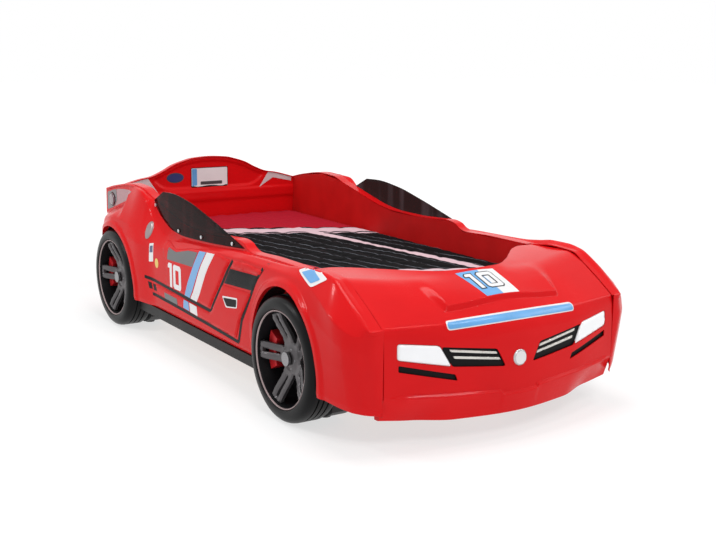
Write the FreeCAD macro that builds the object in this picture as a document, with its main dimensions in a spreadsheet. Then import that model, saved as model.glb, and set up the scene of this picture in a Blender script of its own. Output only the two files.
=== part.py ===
import FreeCAD, Part
import math
import os

import Sketcher
from FreeCAD import Placement, Rotation, Vector

# Children's bed in the form of a racing car.
# Millimetres. X runs across, the nose points to -Y, Z is up and the floor is Z = 0.
# The origin is on the floor, midway between nose and tail.

doc = FreeCAD.newDocument("CarBed")

SIZES = [
    # overall
    ("front_axle", 627, "origin to the front wheel centres"),
    ("rear_axle", 899, "origin to the rear wheel centres"),
    ("front_overhang", 526, "front wheel centres to the nose"),
    ("rear_overhang", 254, "rear wheel centres to the rear face"),
    ("window_front", 218, "origin forward to the window tip"),
    ("window_rear", 599, "origin back to the window's rear corner"),
    # sleeping well
    ("well_width", 920, "clear width between the side panels"),
    ("foot_setback", 298, "nose to the well side of the foot panel"),
    ("board", 18, "thickness of the boards"),
    ("head_depth", 40, "headboard face to the rear face"),
    ("headboard_thickness", 22, "thickness of the arched headboard"),
    ("panel_bottom", 170, "underside of the upright boards"),
    ("base_top", 302, "top of the base boards"),
    ("ledge_width", 30, "width of the rails that carry the base"),
    ("ledge_height", 30, "height of those rails"),
    ("beam_width", 40, "width of the centre beam"),
    ("beam_height", 100, "height of the centre beam"),
    ("base_gap", 6, "gap between two base boards"),
    ("base_inset", 3, "gap round the base boards"),
    ("vent_radius", 17, "air holes in the base"),
    ("vent_pitch", 150, "distance between air holes"),
    ("leg_width", 74, "thickness of the black legs behind the tyres"),
    ("leg_inset", 3, "outline of the tyres to the curved edge of the legs"),
    ("leg_half_length", 130, "half the length of those legs"),
    ("leg_gap", 4, "legs to the rails above them"),
    ("glide_height", 8, "height of the floor glides"),
    ("glide_radius", 20, "radius of the floor glides"),
    ("bolt_radius", 4, "frame bolts"),
    ("bolt_head_radius", 8, "heads of the frame bolts"),
    ("bolt_head_height", 5, "heads of the frame bolts"),
    ("bolt_clearance", 0.3, "round a bolt in its hole"),
    # mattress and bedspread
    ("mattress_gap", 14, "mattress to side panels"),
    ("mattress_end_gap", 11, "mattress to headboard and foot panel"),
    ("mattress_height", 106, "height of the mattress"),
    ("spread_thickness", 7, "quilted bedspread"),
    ("spread_drop", 70, "how far the bedspread hangs down the sides"),
    ("crown_rise", 5, "how far the middle of the bedspread stands up"),
    ("soft_gap", 0.5, "between the bedspread and the mattress"),
    # shells
    ("skin", 4, "thickness of the moulded shells"),
    ("seam", 3, "half the joint between the shells, either side"),
    ("fit", 0.5, "shells over boards and trim in shells"),
    ("ledge_rise", 297, "axles to the top of the sides in front of the windows"),
    ("pillar_rise", 121, "ledge line to the top of the sides behind the windows"),
    ("arch_rise", 76, "top of the sides to the top of the headboard"),
    ("waist_line", 276, "lower edge of the doors"),
    ("hem_line", 156, "lower edge of the side shells"),
    ("nose_bottom", 90, "lower edge of the bumper"),
    ("door_stand", 72, "side panels to the door skin"),
    ("wing_stand", 111, "side panels to the widest point of the front wings"),
    ("quarter_stand", 106, "side panels to the rear wheel arches"),
    ("front_arch_gap", 30, "front tyres to their arches"),
    ("rear_arch_gap", 15, "rear tyres to their arches"),
    ("sill_height", 40, "black sills"),
    ("sill_depth", 16, "black sills"),
    # wheels
    ("tyre_radius", 215, "outside of the tyres"),
    ("tyre_wall", 47, "edge of the rims to the tread"),
    ("wheel_stand", 113, "side panels to the outer face of the tyres"),
    ("hub_radius", 36, "hub in the rims"),
    ("spoke_width", 17, "one half of a twin spoke"),
    ("spoke_count", 5, "twin spokes in a rim"),
    ("cap_radius", 24, "centre caps"),
    # windows
    ("pane", 4, "thickness of the window panes"),
    ("ridge_width", 40, "width of the ridge that holds the panes"),
    ("pane_gap", 1.5, "ridge to pane"),
    ("screw_radius", 3, "window screws"),
    ("screw_head_radius", 7, "heads of the window screws"),
    # lights
    ("lens", 4, "thickness of the headlamp lenses"),
    ("housing_depth", 108, "nose to the back of the headlamp housings"),
    ("lead_radius", 2.5, "internal leads"),
    ("control_rise", 18, "ledge line to the centre of the light control box"),
    ("control_station", 800, "origin to the control box"),
    ("rocker_width", 16, "light switch"),
    ("rocker_height", 26, "light switch"),
    ("rocker_gap", 1.2, "round the light switch"),
]
sheet = doc.addObject("Spreadsheet::Sheet", "Sizes")
for row, (alias, value, meaning) in enumerate(SIZES, start=1):
    sheet.set(f"A{row}", meaning)
    sheet.set(f"B{row}", str(value))
    sheet.setAlias(f"B{row}", alias)
doc.recompute()


def size(alias):
    return float(sheet.get(alias))


FRONT = -size("front_axle")
REAR = size("rear_axle")
NOSE = FRONT - size("front_overhang")
TAIL = REAR + size("rear_overhang")
TIP = -size("window_front")
PANE_REAR = size("window_rear")
HALF = size("well_width") / 2
BOARD = size("board")
PANEL_OUT = HALF + BOARD
HEAD = TAIL - size("head_depth")
FOOT = NOSE + size("foot_setback")
SKIN = size("skin")
FIT = size("fit")
SEAM = size("seam")
AXLE_Z = size("tyre_radius")
LEDGE = AXLE_Z + size("ledge_rise")
PILLAR = LEDGE + size("pillar_rise")
ARCH_TOP = PILLAR + size("arch_rise")
WAIST = size("waist_line")
HEM = size("hem_line")
DOOR = PANEL_OUT + size("door_stand")
WING = PANEL_OUT + size("wing_stand")
QUARTER = PANEL_OUT + size("quarter_stand")
WHEEL_FACE = PANEL_OUT + size("wheel_stand")
FRONT_ARCH = AXLE_Z + size("front_arch_gap")
REAR_ARCH = AXLE_Z + size("rear_arch_gap")
BASE_TOP = size("base_top")
BASE_BOTTOM = BASE_TOP - BOARD
RAIL_BOTTOM = BASE_BOTTOM - size("ledge_height")
SIDES = (("left", 1), ("right", -1))
WHEELS = (("front", FRONT), ("rear", REAR))

# the same places as expressions, for objects bound to the sheet
PANEL_X = "(Sizes.well_width / 2 + Sizes.board)"
FOOT_Y = "(Sizes.foot_setback - Sizes.front_axle - Sizes.front_overhang)"
HEAD_Y = "(Sizes.rear_axle + Sizes.rear_overhang - Sizes.head_depth)"
BASE_Z = "(Sizes.base_top - Sizes.board)"


# ---------------------------------------------------------------- drawing helpers
def along(line, station):
    """Value of a hand-drawn line, given as (station, value) pairs in rising order."""
    if station <= line[0][0]:
        return line[0][1]
    for (start, low), (end, high) in zip(line, line[1:]):
        if station <= end:
            return low + (high - low) * (station - start) / (end - start)
    return line[-1][1]


def inset(points, depth):
    """The same open outline moved to the right of its direction of travel."""
    moved = []
    for index, (u, v) in enumerate(points):
        normals = []
        for first, second in ((index - 1, index), (index, index + 1)):
            if first < 0 or second >= len(points):
                continue
            du = points[second][0] - points[first][0]
            dv = points[second][1] - points[first][1]
            length = math.hypot(du, dv)
            normals.append((dv / length, -du / length))
        nu = sum(n[0] for n in normals) / len(normals)
        nv = sum(n[1] for n in normals) / len(normals)
        stretch = depth / max(nu * nu + nv * nv, 0.25)
        moved.append((u + nu * stretch, v + nv * stretch))
    return moved


def closed_wire(points):
    return Part.makePolygon(points + points[:1])


def loft_skin(outlines, outward, inward, place):
    """Solid skin through open outlines: outward and inward are depths from the drawn line."""
    wires = []
    for station, outline in outlines:
        outer = inset(outline, -outward) if outward else outline
        inner = inset(outline, inward)
        wires.append(closed_wire([place(station, u, v) for u, v in outer + inner[::-1]]))
    return Part.makeLoft(wires, True, True)


def add_shape(label, shape):
    """A sub-part whose shape is drawn by this file from the sizes in the sheet."""
    part = doc.addObject("Part::Feature", label)
    part.Label = label
    part.Shape = shape
    part.Placement = Placement()
    return part


def block(label, sizes, corner):
    """A box bound to the sheet: sizes and corner are expressions."""
    part = doc.addObject("Part::Box", label)
    part.Label = label
    for name, expression in zip(("Length", "Width", "Height"), sizes):
        part.setExpression(name, expression)
    for axis, expression in zip("xyz", corner):
        part.setExpression(f"Placement.Base.{axis}", expression)
    return part


PLANES = {"YZ": "YZ_Plane", "XZ": "XZ_Plane", "XY": "XY_Plane"}


def new_body(label):
    body = doc.addObject("PartDesign::Body", label)
    body.Label = label
    return body


def new_sketch(body, name, plane, loops):
    """Sketch of closed loops: a loop is a list of points, or (centre u, centre v, radius)."""
    sketch = body.newObject("Sketcher::SketchObject", name)
    origin = [item for item in body.Origin.OriginFeatures if item.Role == PLANES[plane]][0]
    sketch.AttachmentSupport = [(origin, "")]
    sketch.MapMode = "FlatFace"
    for loop in loops:
        if isinstance(loop, tuple):
            u, v, radius = loop
            circle = sketch.addGeometry(Part.Circle(Vector(u, v, 0), Vector(0, 0, 1), radius))
            sketch.addConstraint(Sketcher.Constraint("Radius", circle, radius))
            continue
        first = sketch.GeometryCount
        corners = [Vector(u, v, 0) for u, v in loop]
        for start, end in zip(corners, corners[1:] + corners[:1]):
            sketch.addGeometry(Part.LineSegment(start, end))
        for offset in range(len(corners)):
            following = first + (offset + 1) % len(corners)
            sketch.addConstraint(Sketcher.Constraint("Coincident", first + offset, 2, following, 1))
    return sketch


def padded(body, sketch, length, reverse=False):
    pad = body.newObject("PartDesign::Pad", sketch.Name + "Pad")
    pad.Profile = sketch
    pad.Reversed = reverse
    pad.setExpression("Length", length)
    return pad


def board_part(label, plane, loops, length, corner, reverse=False):
    """A flat board cut to an outline, its thickness and place bound to the sheet."""
    body = new_body(label)
    sketch = new_sketch(body, label + "Outline", plane, loops)
    padded(body, sketch, length, reverse)
    for axis, expression in zip("xyz", corner):
        body.setExpression(f"Placement.Base.{axis}", expression)
    return body


def x_cylinder(radius, start, end, y, z):
    low = min(start, end)
    return Part.makeCylinder(radius, abs(end - start), Vector(low, y, z), Vector(1, 0, 0))


def y_prism(corners, start, end):
    """Prism along Y of an outline given as (x, z)."""
    wire = closed_wire([Vector(x, start, z) for x, z in corners])
    return Part.Face(wire).extrude(Vector(0, end - start, 0))


def x_prism(corners, start, end):
    """Prism along X of an outline given as (y, z)."""
    wire = closed_wire([Vector(start, y, z) for y, z in corners])
    return Part.Face(wire).extrude(Vector(end - start, 0, 0))


def mirrored(shape, side):
    return shape if side > 0 else shape.mirror(Vector(0, 0, 0), Vector(1, 0, 0))


def grown(corners, margin):
    """Outline moved outward by a margin, for the opening that a piece of trim sits in."""
    wire = closed_wire([Vector(u, v, 0) for u, v in corners])
    moved = wire.makeOffset2D(margin, 2)
    return [(vertex.Point.x, vertex.Point.y) for vertex in moved.OrderedVertexes]


# ---------------------------------------------------------------- lines of the side shells
TOP = [
    (NOSE + 86, LEDGE - 109), (NOSE + 153, LEDGE - 65), (NOSE + 226, LEDGE - 22),
    (NOSE + 291, LEDGE + 12), (FRONT - 133, LEDGE + 16), (FRONT - 13, LEDGE + 4),
    (TIP - 210, LEDGE + 3), (TIP - 61, LEDGE - 3), (TIP - 22, LEDGE + 5),
    (TIP + 13, LEDGE + 22), (TIP + 58, LEDGE + 28), (TIP + 164, LEDGE + 21),
    (TIP + 300, LEDGE + 15), (PANE_REAR - 403, LEDGE + 15), (PANE_REAR - 283, LEDGE + 25),
    (PANE_REAR - 159, PILLAR - 72), (PANE_REAR - 64, PILLAR - 50), (PANE_REAR + 36, PILLAR - 28),
    (REAR - 161, PILLAR - 3), (REAR - 59, PILLAR), (REAR + 109, PILLAR - 21), (TAIL - 4, PILLAR - 51),
]
PANE_LOW = [
    (TIP, LEDGE + 3), (TIP + 104, LEDGE - 6), (TIP + 330, LEDGE - 22),
    (PANE_REAR - 285, LEDGE - 30), (PANE_REAR - 183, LEDGE - 22), (PANE_REAR - 107, LEDGE + 3),
    (PANE_REAR - 23, LEDGE + 52), (PANE_REAR, LEDGE + 81), (PANE_REAR + 46, PILLAR + 10),
]
PANE_TOP = [
    (PANE_REAR - 92, PILLAR + 4), (PANE_REAR - 190, PILLAR + 8), (PANE_REAR - 343, PILLAR - 6),
    (PANE_REAR - 493, PILLAR - 36), (TIP + 156, LEDGE + 45), (TIP + 48, LEDGE + 17),
]
CREST = [
    (NOSE + 86, LEDGE - 111), (NOSE + 153, LEDGE - 62), (NOSE + 226, LEDGE - 14),
    (NOSE + 291, LEDGE + 18), (FRONT - 166, LEDGE + 29), (FRONT - 87, LEDGE + 28),
    (FRONT - 13, LEDGE + 16), (TIP - 332, LEDGE + 5), (TIP - 72, LEDGE - 3),
    (TIP + 13, LEDGE - 7), (TIP + 135, LEDGE - 16), (TIP + 274, LEDGE - 31),
    (PANE_REAR - 340, LEDGE - 46), (PANE_REAR - 251, LEDGE - 54), (PANE_REAR - 185, LEDGE - 50),
    (PANE_REAR - 114, LEDGE - 27), (PANE_REAR - 52, LEDGE + 2), (PANE_REAR - 1, LEDGE + 42),
    (PANE_REAR + 29, LEDGE + 81), (PANE_REAR + 93, PILLAR - 4), (REAR - 59, PILLAR - 2),
    (REAR + 109, PILLAR - 23), (TAIL - 4, PILLAR - 53),
]
BELT = [
    (NOSE + 86, LEDGE - 129), (NOSE + 113, LEDGE - 128), (NOSE + 153, LEDGE - 112),
    (NOSE + 196, LEDGE - 89), (NOSE + 303, LEDGE - 47), (FRONT - 133, LEDGE - 18),
    (FRONT - 13, LEDGE - 9), (TIP - 132, LEDGE - 17), (TIP - 72, LEDGE - 16),
    (TIP + 13, LEDGE - 24), (TIP + 135, LEDGE - 26), (TIP + 274, LEDGE - 45),
    (PANE_REAR - 340, LEDGE - 70), (PANE_REAR - 251, LEDGE - 80), (PANE_REAR - 114, LEDGE - 88),
    (PANE_REAR - 1, LEDGE - 72), (REAR - 159, LEDGE - 32), (REAR, LEDGE - 22),
    (REAR + 109, LEDGE - 40), (TAIL - 33, LEDGE - 62), (TAIL - 4, LEDGE - 70),
]
BELT_X = [
    (NOSE + 86, WING - 69), (NOSE + 113, WING - 33), (NOSE + 153, WING - 9),
    (NOSE + 196, WING), (NOSE + 303, WING - 15), (FRONT - 133, WING - 27),
    (TIP - 132, DOOR), (PANE_REAR - 251, DOOR), (PANE_REAR - 1, QUARTER - 22),
    (REAR - 159, QUARTER - 12), (REAR, QUARTER - 9), (REAR + 109, QUARTER - 18),
    (TAIL - 73, QUARTER - 39), (TAIL - 33, QUARTER - 64), (TAIL - 4, QUARTER - 84),
]
SHOULDER = [
    (NOSE + 86, LEDGE - 182), (NOSE + 196, LEDGE - 152), (NOSE + 303, LEDGE - 112),
    (FRONT, LEDGE - 67), (TIP - 72, LEDGE - 72), (PANE_REAR - 251, LEDGE - 112),
    (PANE_REAR, LEDGE - 102), (REAR, LEDGE - 72), (TAIL - 4, LEDGE - 92),
]
FLANK_X = [
    (NOSE + 86, WING - 57), (NOSE + 113, WING - 23), (NOSE + 153, WING - 2),
    (NOSE + 196, WING + 1), (NOSE + 303, WING + 1), (FRONT, WING - 9),
    (TIP - 132, DOOR + 6), (PANE_REAR - 114, DOOR + 6), (PANE_REAR + 61, QUARTER - 6),
    (REAR, QUARTER), (REAR + 109, QUARTER - 10), (TAIL - 73, QUARTER - 32),
    (TAIL - 33, QUARTER - 59), (TAIL - 4, QUARTER - 81),
]
HEM_Z = [
    (NOSE + 86, HEM - 28), (NOSE + 196, HEM - 16), (FRONT - 245, HEM - 6),
    (TIP - 332, HEM), (PANE_REAR + 93, HEM), (TAIL - 4, HEM - 36),
]
TUMBLE = 8
HEM_STEP = 19
HEM_RETURN = 20
PANE_SEAT = 8
RIDGE_X = HALF + size("ridge_width")
CREST_X = RIDGE_X + 27
LIP_X = RIDGE_X + 8
GUTTER = [
    (REAR - 59, LEDGE + 66), (REAR - 33, LEDGE + 46), (REAR + 128, LEDGE - 5), (TAIL - 4, LEDGE - 39),
]


def side_outline(station):
    """Half section of a side shell, from the inner top edge down to the hem."""
    front_zone = station < FRONT - 14
    inner = PANEL_OUT + SEAM if front_zone else HALF
    top = along(TOP, station)
    foot = top - 6
    if TIP - 30 < station < PANE_REAR + 46:
        foot = min(foot, along(PANE_LOW, station) - PANE_SEAT)
    flank = along(FLANK_X, station)
    crest = (along([(PANE_REAR + 93, CREST_X), (REAR - 59, LIP_X)], station), along(CREST, station))
    belt = (along(BELT_X, station), along(BELT, station))
    gutter = ((crest[0] + belt[0]) / 2, (crest[1] + belt[1]) / 2)
    if station > REAR - 60:
        gutter = (LIP_X + 1, along(GUTTER, station))
    return [
        (inner, top),
        (RIDGE_X, top),
        (RIDGE_X + 1, foot),
        crest,
        gutter,
        belt,
        (flank, along(SHOULDER, station)),
        (flank - 1, WAIST),
        (flank - TUMBLE, along(HEM_Z, station) + HEM_STEP),
        (flank - TUMBLE - 5, along(HEM_Z, station)),
        (flank - TUMBLE - HEM_RETURN, along(HEM_Z, station)),
    ]


STATIONS = [
    NOSE + 86, NOSE + 113, NOSE + 153, NOSE + 196, NOSE + 226, NOSE + 291, FRONT - 166,
    FRONT - 87, FRONT - 20, FRONT - 13, TIP - 332, TIP - 132, TIP - 72, TIP - 22, TIP + 13,
    TIP + 58, TIP + 135, TIP + 274, PANE_REAR - 340, PANE_REAR - 251, PANE_REAR - 185,
    PANE_REAR - 114, PANE_REAR - 52, PANE_REAR - 1, PANE_REAR + 29, PANE_REAR + 93,
    REAR - 59, REAR, REAR + 109, TAIL - 73, TAIL - 33, TAIL - 4,
]


def side_skin(outward, inward):
    outlines = [(station, side_outline(station)) for station in STATIONS]
    return loft_skin(outlines, outward, inward, lambda y, x, z: Vector(x, y, z))


def side_cap(station, thickness):
    """Flat end of a side shell."""
    outline = side_outline(station)
    closing = [(PANEL_OUT + SEAM, outline[-1][1]), (PANEL_OUT + SEAM, outline[0][1])]
    corners = [(max(x, PANEL_OUT + SEAM), z) for x, z in outline[1:]] + closing
    wire = closed_wire([Vector(x, station, z) for x, z in corners])
    return Part.Face(wire).extrude(Vector(0, thickness, 0))


# ---------------------------------------------------------------- lines of the front shell
NOSE_LINES = [
    # each line: (half width, y, z), from the rear edge of the bonnet to the bumper's return
    [(0, NOSE + 248, LEDGE + 2), (100, NOSE + 261, LEDGE + 2), (204, NOSE + 329, LEDGE + 2),
     (290, NOSE + 410, LEDGE + 2), (360, NOSE + 473, LEDGE + 2), (420, FRONT - 24, LEDGE + 2),
     (PANEL_OUT, FRONT - 24, LEDGE + 2)],
    [(0, NOSE + 203, LEDGE - 23), (231, NOSE + 223, LEDGE - 14), (PANEL_OUT, NOSE + 291, LEDGE + 10)],
    [(0, NOSE + 143, LEDGE - 51), (231, NOSE + 158, LEDGE - 46), (PANEL_OUT, NOSE + 226, LEDGE - 24)],
    [(0, NOSE + 84, LEDGE - 73), (231, NOSE + 93, LEDGE - 85), (PANEL_OUT, NOSE + 153, LEDGE - 67)],
    [(0, NOSE + 33, LEDGE - 115), (231, NOSE + 48, LEDGE - 113), (PANEL_OUT, NOSE + 86, LEDGE - 111)],
    [(0, NOSE + 15, LEDGE - 146), (231, NOSE + 31, LEDGE - 152), (PANEL_OUT, NOSE + 79, LEDGE - 140)],
    [(0, NOSE + 7, LEDGE - 222), (231, NOSE + 24, LEDGE - 222), (PANEL_OUT, NOSE + 75, LEDGE - 222)],
    [(0, NOSE, HEM + 5), (231, NOSE + 21, HEM + 12), (PANEL_OUT, NOSE + 73, HEM + 24)],
    [(0, NOSE + 6, size("nose_bottom")), (231, NOSE + 39, size("nose_bottom")),
     (366, NOSE + 90, size("nose_bottom") + 6), (PANEL_OUT, NOSE + 108, HEM - 28)],
]
NOSE_STATIONS = [0, 50, 100, 160, 204, 231, 290, 360, 420, PANEL_OUT]
BUMPER_RETURN = 22


def nose_outline(half_width):
    outline = []
    for line in NOSE_LINES:
        depth = along([(x, y) for x, y, z in line], half_width)
        height = along([(x, z) for x, y, z in line], half_width)
        outline.append((depth, height))
    outline.append((outline[-1][0] + BUMPER_RETURN, outline[-1][1]))
    return outline


def nose_skin(outward, inward):
    """Skin of bonnet, nose and bumper, a negative station being the right-hand half."""
    both = [-x for x in NOSE_STATIONS[:0:-1]] + NOSE_STATIONS
    outlines = [(x, nose_outline(abs(x))) for x in both]
    return loft_skin(outlines, -outward, -inward, lambda x, y, z: Vector(x, y, z))


# ---------------------------------------------------------------- lines of the tail
ARCH = [
    (0, ARCH_TOP), (84, ARCH_TOP - 5), (136, ARCH_TOP - 17), (188, ARCH_TOP - 34),
    (239, ARCH_TOP - 60), (305, ARCH_TOP - 85), (350, ARCH_TOP - 92), (HALF - FIT, ARCH_TOP - 121),
]


ARCH_FALL = 2
TAIL_RETURN = 28


def tail_outline(half_width):
    top = along(ARCH, half_width)
    return [
        (HEAD, top), (TAIL - 6, top - ARCH_FALL), (TAIL, top - 16), (TAIL - 3, LEDGE - 82),
        (TAIL, WAIST + 24), (TAIL, HEM - 44), (TAIL - 10, HEM - 54), (TAIL - TAIL_RETURN, HEM - 54),
    ]


def tail_skin():
    stations = [x for x, z in ARCH]
    both = [-x for x in stations[:0:-1]] + stations
    outlines = [(x, tail_outline(abs(x))) for x in both]
    return loft_skin(outlines, 0, SKIN, lambda x, y, z: Vector(x, y, z))


def arc_points(centre, radius, start, end, count=12):
    """Points on an arc, angles in degrees."""
    points = []
    for index in range(count + 1):
        angle = math.radians(start + (end - start) * index / count)
        points.append((centre[0] + radius * math.cos(angle), centre[1] + radius * math.sin(angle)))
    return points


# ---------------------------------------------------------------- boards
HEADBOARD = size("headboard_thickness")
PANEL_BOTTOM = size("panel_bottom")
BOLT_HOLE = size("bolt_radius") + size("bolt_clearance")
RAIL_Z = (BASE_BOTTOM + RAIL_BOTTOM) / 2
RAIL_BOLTS = [FRONT + FRONT_ARCH, (FRONT + REAR) / 2, REAR - REAR_ARCH]
END_BOLT_Z = [PANEL_BOTTOM + 34, RAIL_BOTTOM - 15, BASE_TOP + 60]
END_BOLT_REACH = 36
FOOT_BOLT_Y = FOOT - BOARD / 2
HEAD_BOLT_Y = HEAD + HEADBOARD / 2
CONTROL_Y = size("control_station")
CONTROL_Z = LEDGE + size("control_rise")
ROCKER_W = size("rocker_width")
ROCKER_H = size("rocker_height")
SNOUT_WALL = size("rocker_gap") + 3


def rectangle(centre_u, centre_v, width, height):
    u, v = width / 2, height / 2
    return [
        (centre_u - u, centre_v - v), (centre_u + u, centre_v - v),
        (centre_u + u, centre_v + v), (centre_u - u, centre_v + v),
    ]


def panel_outline():
    rear = HEAD + HEADBOARD
    under_shell = SKIN + FIT
    bonnet_top = LEDGE - 14
    stations = [y for y in STATIONS if FRONT < y < rear]
    top = [(rear, along(TOP, rear) - under_shell)]
    top += [(y, along(TOP, y) - under_shell) for y in reversed(stations)]
    top += [(FRONT, along(TOP, FRONT) - under_shell), (FRONT, bonnet_top), (FOOT - BOARD, bonnet_top)]
    return [(FOOT - BOARD, PANEL_BOTTOM), (rear, PANEL_BOTTOM)] + top


def panel_holes():
    holes = [(y, AXLE_Z, BOLT_HOLE) for name, y in WHEELS]
    holes += [(y, RAIL_Z, BOLT_HOLE) for y in RAIL_BOLTS]
    holes += [(y, z, BOLT_HOLE) for y in (FOOT_BOLT_Y, HEAD_BOLT_Y) for z in END_BOLT_Z]
    return holes


finished = []
for side_name, side in SIDES:
    loops = [panel_outline()] + panel_holes()
    if side < 0:
        snout_width = ROCKER_W + 2 * SNOUT_WALL + 2 * FIT
        snout_height = ROCKER_H + 2 * SNOUT_WALL + 2 * FIT
        loops.append(rectangle(CONTROL_Y, CONTROL_Z, snout_width, snout_height))
    panel_x = "Sizes.well_width / 2" if side > 0 else "-" + PANEL_X
    finished.append(board_part(side_name + "_side_panel", "YZ", loops, "Sizes.board", [panel_x]))
    rail_loops = [[(FOOT, RAIL_BOTTOM), (HEAD, RAIL_BOTTOM), (HEAD, BASE_BOTTOM), (FOOT, BASE_BOTTOM)]]
    rail_loops += [(y, RAIL_Z, BOLT_HOLE) for y in RAIL_BOLTS]
    rail_x = "Sizes.well_width / 2 - Sizes.ledge_width" if side > 0 else "-Sizes.well_width / 2"
    finished.append(board_part(side_name + "_mattress_ledge", "YZ", rail_loops, "Sizes.ledge_width", [rail_x]))
    for end_name, axle in WHEELS:
        reach = size("leg_half_length")
        radius = AXLE_Z - size("leg_inset")
        ground = size("glide_height")
        flat = math.degrees(math.acos((AXLE_Z - ground) / radius))
        wide = math.degrees(math.asin(reach / radius))
        right_arc = arc_points((axle, AXLE_Z), radius, -90 + flat, -90 + wide)
        left_arc = arc_points((axle, AXLE_Z), radius, -90 - wide, -90 - flat)
        leg_top = RAIL_BOTTOM - size("leg_gap")
        outline = left_arc + right_arc + [(axle + reach, leg_top), (axle - reach, leg_top)]
        leg_x = "Sizes.well_width / 2 - Sizes.leg_width" if side > 0 else "-Sizes.well_width / 2"
        finished.append(board_part(f"{end_name}_{side_name}_leg", "YZ",
                                   [outline, (axle, AXLE_Z, BOLT_HOLE)], "Sizes.leg_width", [leg_x]))


def end_holes(y):
    """Blind holes in the ends of a cross board for the bolts through the side panels."""
    depth = END_BOLT_REACH + 4
    holes = []
    for side in (1, -1):
        for z in END_BOLT_Z:
            holes.append(x_cylinder(BOLT_HOLE, side * (HALF - depth), side * (HALF + 1), y, z))
    return Part.makeCompound(holes)


def drilled(label, base, holes):
    """A board with holes in its edges."""
    tool = doc.addObject("Part::Feature", label + "_holes")
    tool.Shape = holes
    cut = doc.addObject("Part::Cut", label)
    cut.Label = label
    cut.Base = base
    cut.Tool = tool
    return cut


foot_top = LEDGE - 22
foot_outline = [(-HALF, PANEL_BOTTOM), (HALF, PANEL_BOTTOM), (HALF, foot_top), (-HALF, foot_top)]
foot_blank = board_part("foot_panel_blank", "XZ", [foot_outline], "Sizes.board",
                        ["0 mm", FOOT_Y + " - Sizes.board"], reverse=True)
finished.append(drilled("foot_panel", foot_blank, end_holes(FOOT_BOLT_Y)))

under_arch = ARCH_FALL + SKIN + FIT
board_arch = [(x, z - under_arch) for x, z in ARCH[:-1]]
arch_end = (HALF, ARCH[-1][1] - under_arch)
head_top = [arch_end] + board_arch[::-1] + [(-x, z) for x, z in board_arch[1:]] + [(-HALF, arch_end[1])]
head_outline = [(-HALF, PANEL_BOTTOM), (HALF, PANEL_BOTTOM)] + head_top
head_blank = board_part("headboard_blank", "XZ", [head_outline], "Sizes.headboard_thickness",
                        ["0 mm", HEAD_Y], reverse=True)
# a sunk field under the arch, as half width and distance below its top, and the groove above the mattress
FIELD = [(0, 22), (84, 27), (136, 39), (188, 56), (239, 82), (292, 100), (250, 137), (210, 149)]
field_half = [(x, ARCH_TOP - drop) for x, drop in FIELD]
field = field_half + [(-x, z) for x, z in field_half[:0:-1]]
GROOVE_Z = LEDGE - 94
groove = [(-HALF + 8, GROOVE_Z), (HALF - 8, GROOVE_Z), (HALF - 8, GROOVE_Z + 26), (-HALF + 8, GROOVE_Z + 26)]
for name, loop, depth in (("Field", field, 3), ("Groove", groove, 8)):
    recess = head_blank.newObject("PartDesign::Pocket", "Headboard" + name)
    recess.Profile = new_sketch(head_blank, "Headboard" + name + "Outline", "XZ", [loop])
    recess.Length = depth
finished.append(drilled("headboard", head_blank, end_holes(HEAD_BOLT_Y)))

base_count = 3
base_length = (HEAD - FOOT - 2 * size("base_inset") - (base_count - 1) * size("base_gap")) / base_count
base_half = HALF - size("base_inset")
for index in range(base_count):
    start = FOOT + size("base_inset") + index * (base_length + size("base_gap"))
    outline = rectangle(0, start + base_length / 2, 2 * base_half, base_length)
    pitch = size("vent_pitch")
    vents = [(column * pitch, start + base_length / 2 + row * pitch, size("vent_radius"))
             for column in (-2, -1, 1, 2) for row in (-1, 0, 1)]
    finished.append(board_part(f"base_board_{index + 1}", "XY", [outline] + vents, "Sizes.board",
                               ["0 mm", "0 mm", BASE_Z]))

finished.append(block("centre_beam",
                      ["Sizes.beam_width", HEAD_Y + " - " + FOOT_Y, "Sizes.beam_height"],
                      ["-Sizes.beam_width / 2", FOOT_Y, BASE_Z + " - Sizes.beam_height"]))
finished.append(block("centre_leg",
                      ["2 * Sizes.beam_width", "2 * Sizes.beam_width",
                       BASE_Z + " - Sizes.beam_height - Sizes.glide_height"],
                      ["-Sizes.beam_width", f"({FOOT_Y} + {HEAD_Y}) / 2 - Sizes.beam_width",
                       "Sizes.glide_height"]))

glides = []
glide_x = HALF - size("leg_width") / 2
for side_name, side in SIDES:
    for end_name, axle in WHEELS:
        for step in (-1, 1):
            place = Vector(side * glide_x, axle + step * (size("glide_radius") + 3), 0)
            glides.append(Part.makeCylinder(size("glide_radius"), size("glide_height"), place))
glides.append(Part.makeCylinder(size("glide_radius"), size("glide_height"), Vector(0, (FOOT + HEAD) / 2, 0)))
finished.append(add_shape("floor_glides", Part.makeCompound(glides)))


def bolt(side, head_x, tip_x, y, z):
    """Flat-headed bolt along X: head_x is the seat of the head, tip_x the far end."""
    away = 1 if head_x > tip_x else -1
    head_end = head_x + away * size("bolt_head_height")
    head = x_cylinder(size("bolt_head_radius"), side * head_x, side * head_end, y, z)
    return head.fuse(x_cylinder(size("bolt_radius"), side * head_x, side * tip_x, y, z)).removeSplitter()


RIM_SINK = 34
RIM_FACE = WHEEL_FACE - RIM_SINK
bolts = []
for side_name, side in SIDES:
    for y in RAIL_BOLTS:
        bolts.append(bolt(side, PANEL_OUT, HALF - size("ledge_width") + 4, y, RAIL_Z))
    for y in (FOOT_BOLT_Y, HEAD_BOLT_Y):
        for z in END_BOLT_Z:
            bolts.append(bolt(side, PANEL_OUT, HALF - END_BOLT_REACH, y, z))
    for end_name, axle in WHEELS:
        bolts.append(bolt(side, HALF - size("leg_width"), RIM_FACE, axle, AXLE_Z))
finished.append(add_shape("frame_bolts", Part.makeCompound(bolts)))

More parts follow.
